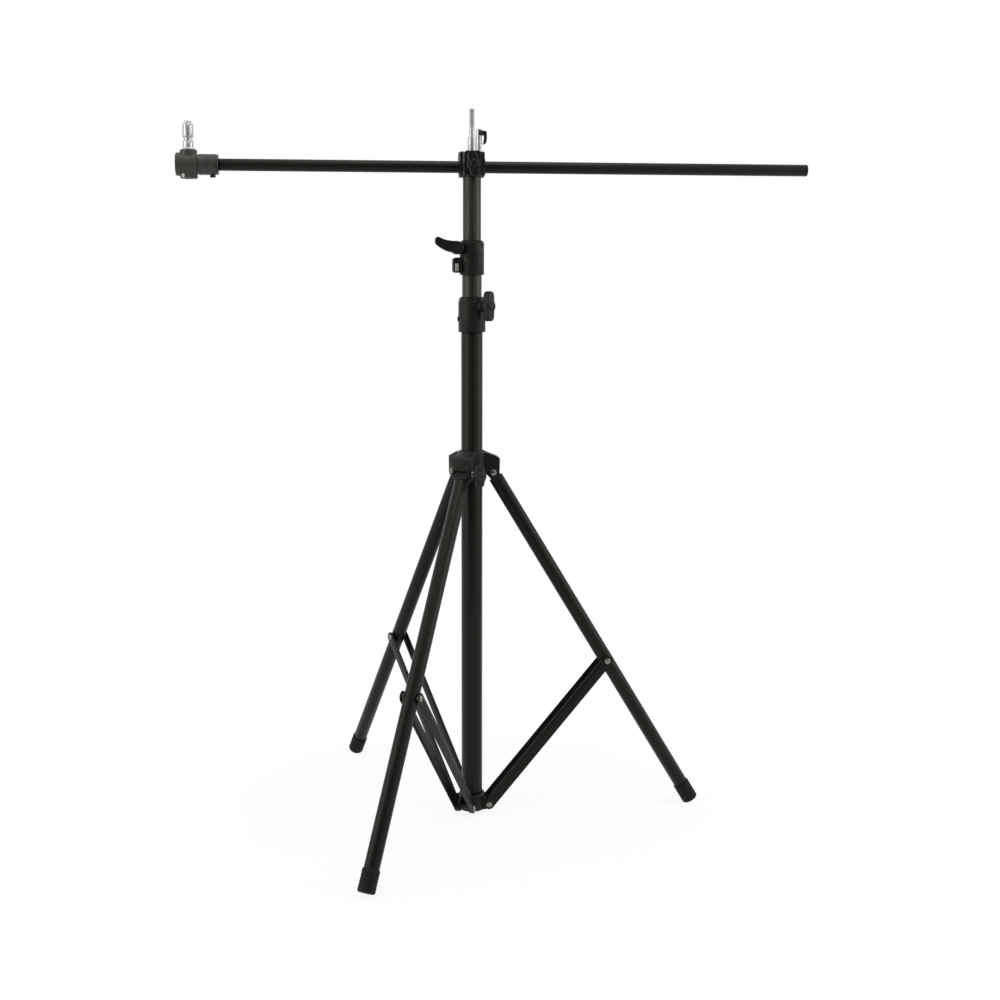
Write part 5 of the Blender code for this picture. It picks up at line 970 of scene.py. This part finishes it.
BOOM_R, BOOM_BORE = 8.75 * MM, 7.75 * MM
BOOM_LEFT, BOOM_RIGHT = -394.0 * MM, 514.5 * MM
CAP_PLUG_R, CAP_PLUG_DEPTH, CAP_SIDES = 7.4 * MM, 12.0 * MM, 56
CAP_FACE = ((8.9, 0), (8.9, 1.1), (8.5, 1.7), (7.6, 2), (5.6, 2), (5.2, 1.5))

settle(pipe(BOOM_R, BOOM_BORE, BOOM_LEFT, BOOM_RIGHT, FINE_EDGE), "boom_drawn_tube", "boom",
       tube_paint("satin_paint_boom", 0.0, 90.0), "boom_tube", ALONG_BOOM)

section = [(CAP_PLUG_R, BOOM_RIGHT - CAP_PLUG_DEPTH), (CAP_PLUG_R, BOOM_RIGHT + PLAY)]
section += in_mm(CAP_FACE, BOOM_RIGHT + PLAY)
settle(lathe(section, CAP_SIDES), "boom_plastic_cap", "boom", NYLON, "boom_end_cap", ALONG_BOOM)


# Lamp head: a socket that turns on the boom's left end and a drum with a cross boss that holds
# the spigot. Its grey-black paint is a shade lighter than that of the stand's castings, and its
# colour is lighter still as a painted sheen: the drum's brighter reflection of overhead light.

# These lighter grey tones are partly the head's own paint and partly painted sheen from the overhead light.
HEAD_PAINT_AND_PAINTED_SHEEN = cast_metal("grey_black_casting_painted_sheen", (0.050, 0.052, 0.047), (0.070, 0.072, 0.065), 0.36)
AT_BOOM = at((0, BOOM_Y, TILT_Z))
SOCKET_LEFT, SOCKET_RIGHT, SOCKET_R = -396.9 * MM, -368.4 * MM, 15.0 * MM
SOCKET_GROOVES = ((-385.2, 0.8, 0.5), (-382.6, 0.8, 0.5), (-371.6, 1.6, 1.3))
SOCKET_SCREW_X = -377.0 * MM
DRUM_LEFT, DRUM_RIGHT, DRUM_R, DRUM_ROUND = -429.9 * MM, -399.2 * MM, 16.7 * MM, 2.5 * MM
DRUM_NECK_R, DRUM_NECK_END = 13.5 * MM, -397.2 * MM
BOSS_X, BOSS_HALF, BOSS_R = -411.1 * MM, 20.2 * MM, 12.7 * MM
BOSS_BORE, BORE_SIDES = 6.3 * MM, 56
SET_SCREW_R, SET_SCREW_HOLE_R = 2.8 * MM, 2.1 * MM
SET_SCREW_AZIMUTH, SET_SCREW_Z = -120.0, -16.6 * MM
SOCKET_SCREW = ((2.5, 9.05), (2.5, 15.3), (4.2, 15.3), (4.2, 18.5))
SCREW_FLUTES, SCREW_FLUTE_R, SCREW_FLUTE_REACH, SCREW_FLUTE_SIDES = 10, 0.55 * MM, 4.35 * MM, 12

section = [(LINER_BORE, SOCKET_LEFT), (SOCKET_R, SOCKET_LEFT)]
for groove, width, depth in SOCKET_GROOVES:
    floor_r = SOCKET_R - depth * MM
    section += [(SOCKET_R, groove * MM), (floor_r, (groove + 0.15) * MM),
                (floor_r, (groove + width - 0.15) * MM), (SOCKET_R, (groove + width) * MM)]
section += [(SOCKET_R, SOCKET_RIGHT - CAST_EDGE), (SOCKET_R - CAST_EDGE, SOCKET_RIGHT),
            (LINER_BORE, SOCKET_RIGHT)]
socket = turned_to(lathe(section, hollow=True), at(lean=90))
below = at((SOCKET_SCREW_X, 0, 0), lean=180)
cut_away(socket, rod(SCREW_HOLE_R, 5 * MM, 20 * MM, HOLE_SIDES), below)
settle(socket, "head_socket", "lamp_head", HEAD_PAINT_AND_PAINTED_SHEEN, "head_sleeve", AT_BOOM)

flat_r = DRUM_R - DRUM_ROUND
left_round = curve((DRUM_LEFT + DRUM_ROUND, flat_r), DRUM_ROUND, 170, 90, 6)
right_round = curve((DRUM_RIGHT - DRUM_ROUND, flat_r), DRUM_ROUND, 90, 10, 6)
section = [(flat_r, DRUM_LEFT)] + [(radius, x) for x, radius in left_round + right_round]
section += [(flat_r, DRUM_RIGHT), (DRUM_NECK_R, DRUM_RIGHT), (DRUM_NECK_R, DRUM_NECK_END)]
drum = turned_to(lathe(section), at(lean=90))
join(drum, soften(rod(BOSS_R, -BOSS_HALF, BOSS_HALF), 1.2 * MM, 4), at((BOSS_X, 0, 0)))
cut_away(drum, rod(BOSS_BORE, -30 * MM, 30 * MM, BORE_SIDES), at((BOSS_X, 0, 0)))
toward_set_screw = at((BOSS_X, 0, SET_SCREW_Z), SET_SCREW_AZIMUTH, 90)
cut_away(drum, rod(SET_SCREW_HOLE_R, 1 * MM, 16 * MM, HOLE_SIDES), toward_set_screw)
settle(drum, "head_drum", "lamp_head", HEAD_PAINT_AND_PAINTED_SHEEN, "head_casting", AT_BOOM)

set_screw = socket_screw(SET_SCREW_R, 13 * MM, rise=1.5 * MM, hex_r=1.3 * MM, drop=1.0 * MM)
settle(set_screw, "spigot_lock_screw", "lamp_head", ZINC, "spigot_set_screw", AT_BOOM @ toward_set_screw)

screw = soften(lathe(in_mm(SOCKET_SCREW), SMALL_SIDES), 0.6 * MM, 3)
for step in range(SCREW_FLUTES):
    angle = math.radians(step * 360 / SCREW_FLUTES)
    spot = (SCREW_FLUTE_REACH * math.cos(angle), SCREW_FLUTE_REACH * math.sin(angle), 0)
    cut_away(screw, rod(SCREW_FLUTE_R, 15 * MM, 20 * MM, SCREW_FLUTE_SIDES), at(spot))
settle(screw, "socket_clamp_screw", "head_screw", NYLON, "head_lock_screw", AT_BOOM @ below)


# Spigot: turned and chromed, with a flange on the boss, a waist that a lamp's clamp screw grips
# and a stepped tip. Its shank runs down through the boss.

SPIGOT_SHANK = ((5.4, -18.8), (6, -18.2))
SPIGOT_FLANGE = ((6, 0), (10, 0), (10.5, 0.4), (10.5, 1.0), (10.1, 1.5), (8.6, 2.1), (8, 2.8))
SPIGOT_WAIST = ((8, -0.3), (7.8, 0), (6.5, 1), (6.4, 1.4), (6.4, 4.1), (6.5, 4.5), (7.8, 5.5), (8, 5.8))
SPIGOT_TIP = ((8, -5.4), (7.6, -4.7), (5.9, -4.1), (5.6, -3.6), (5.6, -1), (5.3, -0.4), (4.6, 0))
SPIGOT_SEAT, SPIGOT_TOP = BOSS_HALF + PLAY, BOSS_HALF + 41.6 * MM
SPIGOT_WAIST_Z, SPIGOT_SIDES = SPIGOT_SEAT + 12.5 * MM, 64

section = in_mm(SPIGOT_SHANK) + in_mm(SPIGOT_FLANGE, SPIGOT_SEAT)
section += in_mm(SPIGOT_WAIST, SPIGOT_WAIST_Z) + in_mm(SPIGOT_TIP, SPIGOT_TOP)
settle(lathe(section, SPIGOT_SIDES), "turned_spigot", "lamp_spigot", CHROME, "spigot",
       at((BOSS_X, BOOM_Y, TILT_Z)))
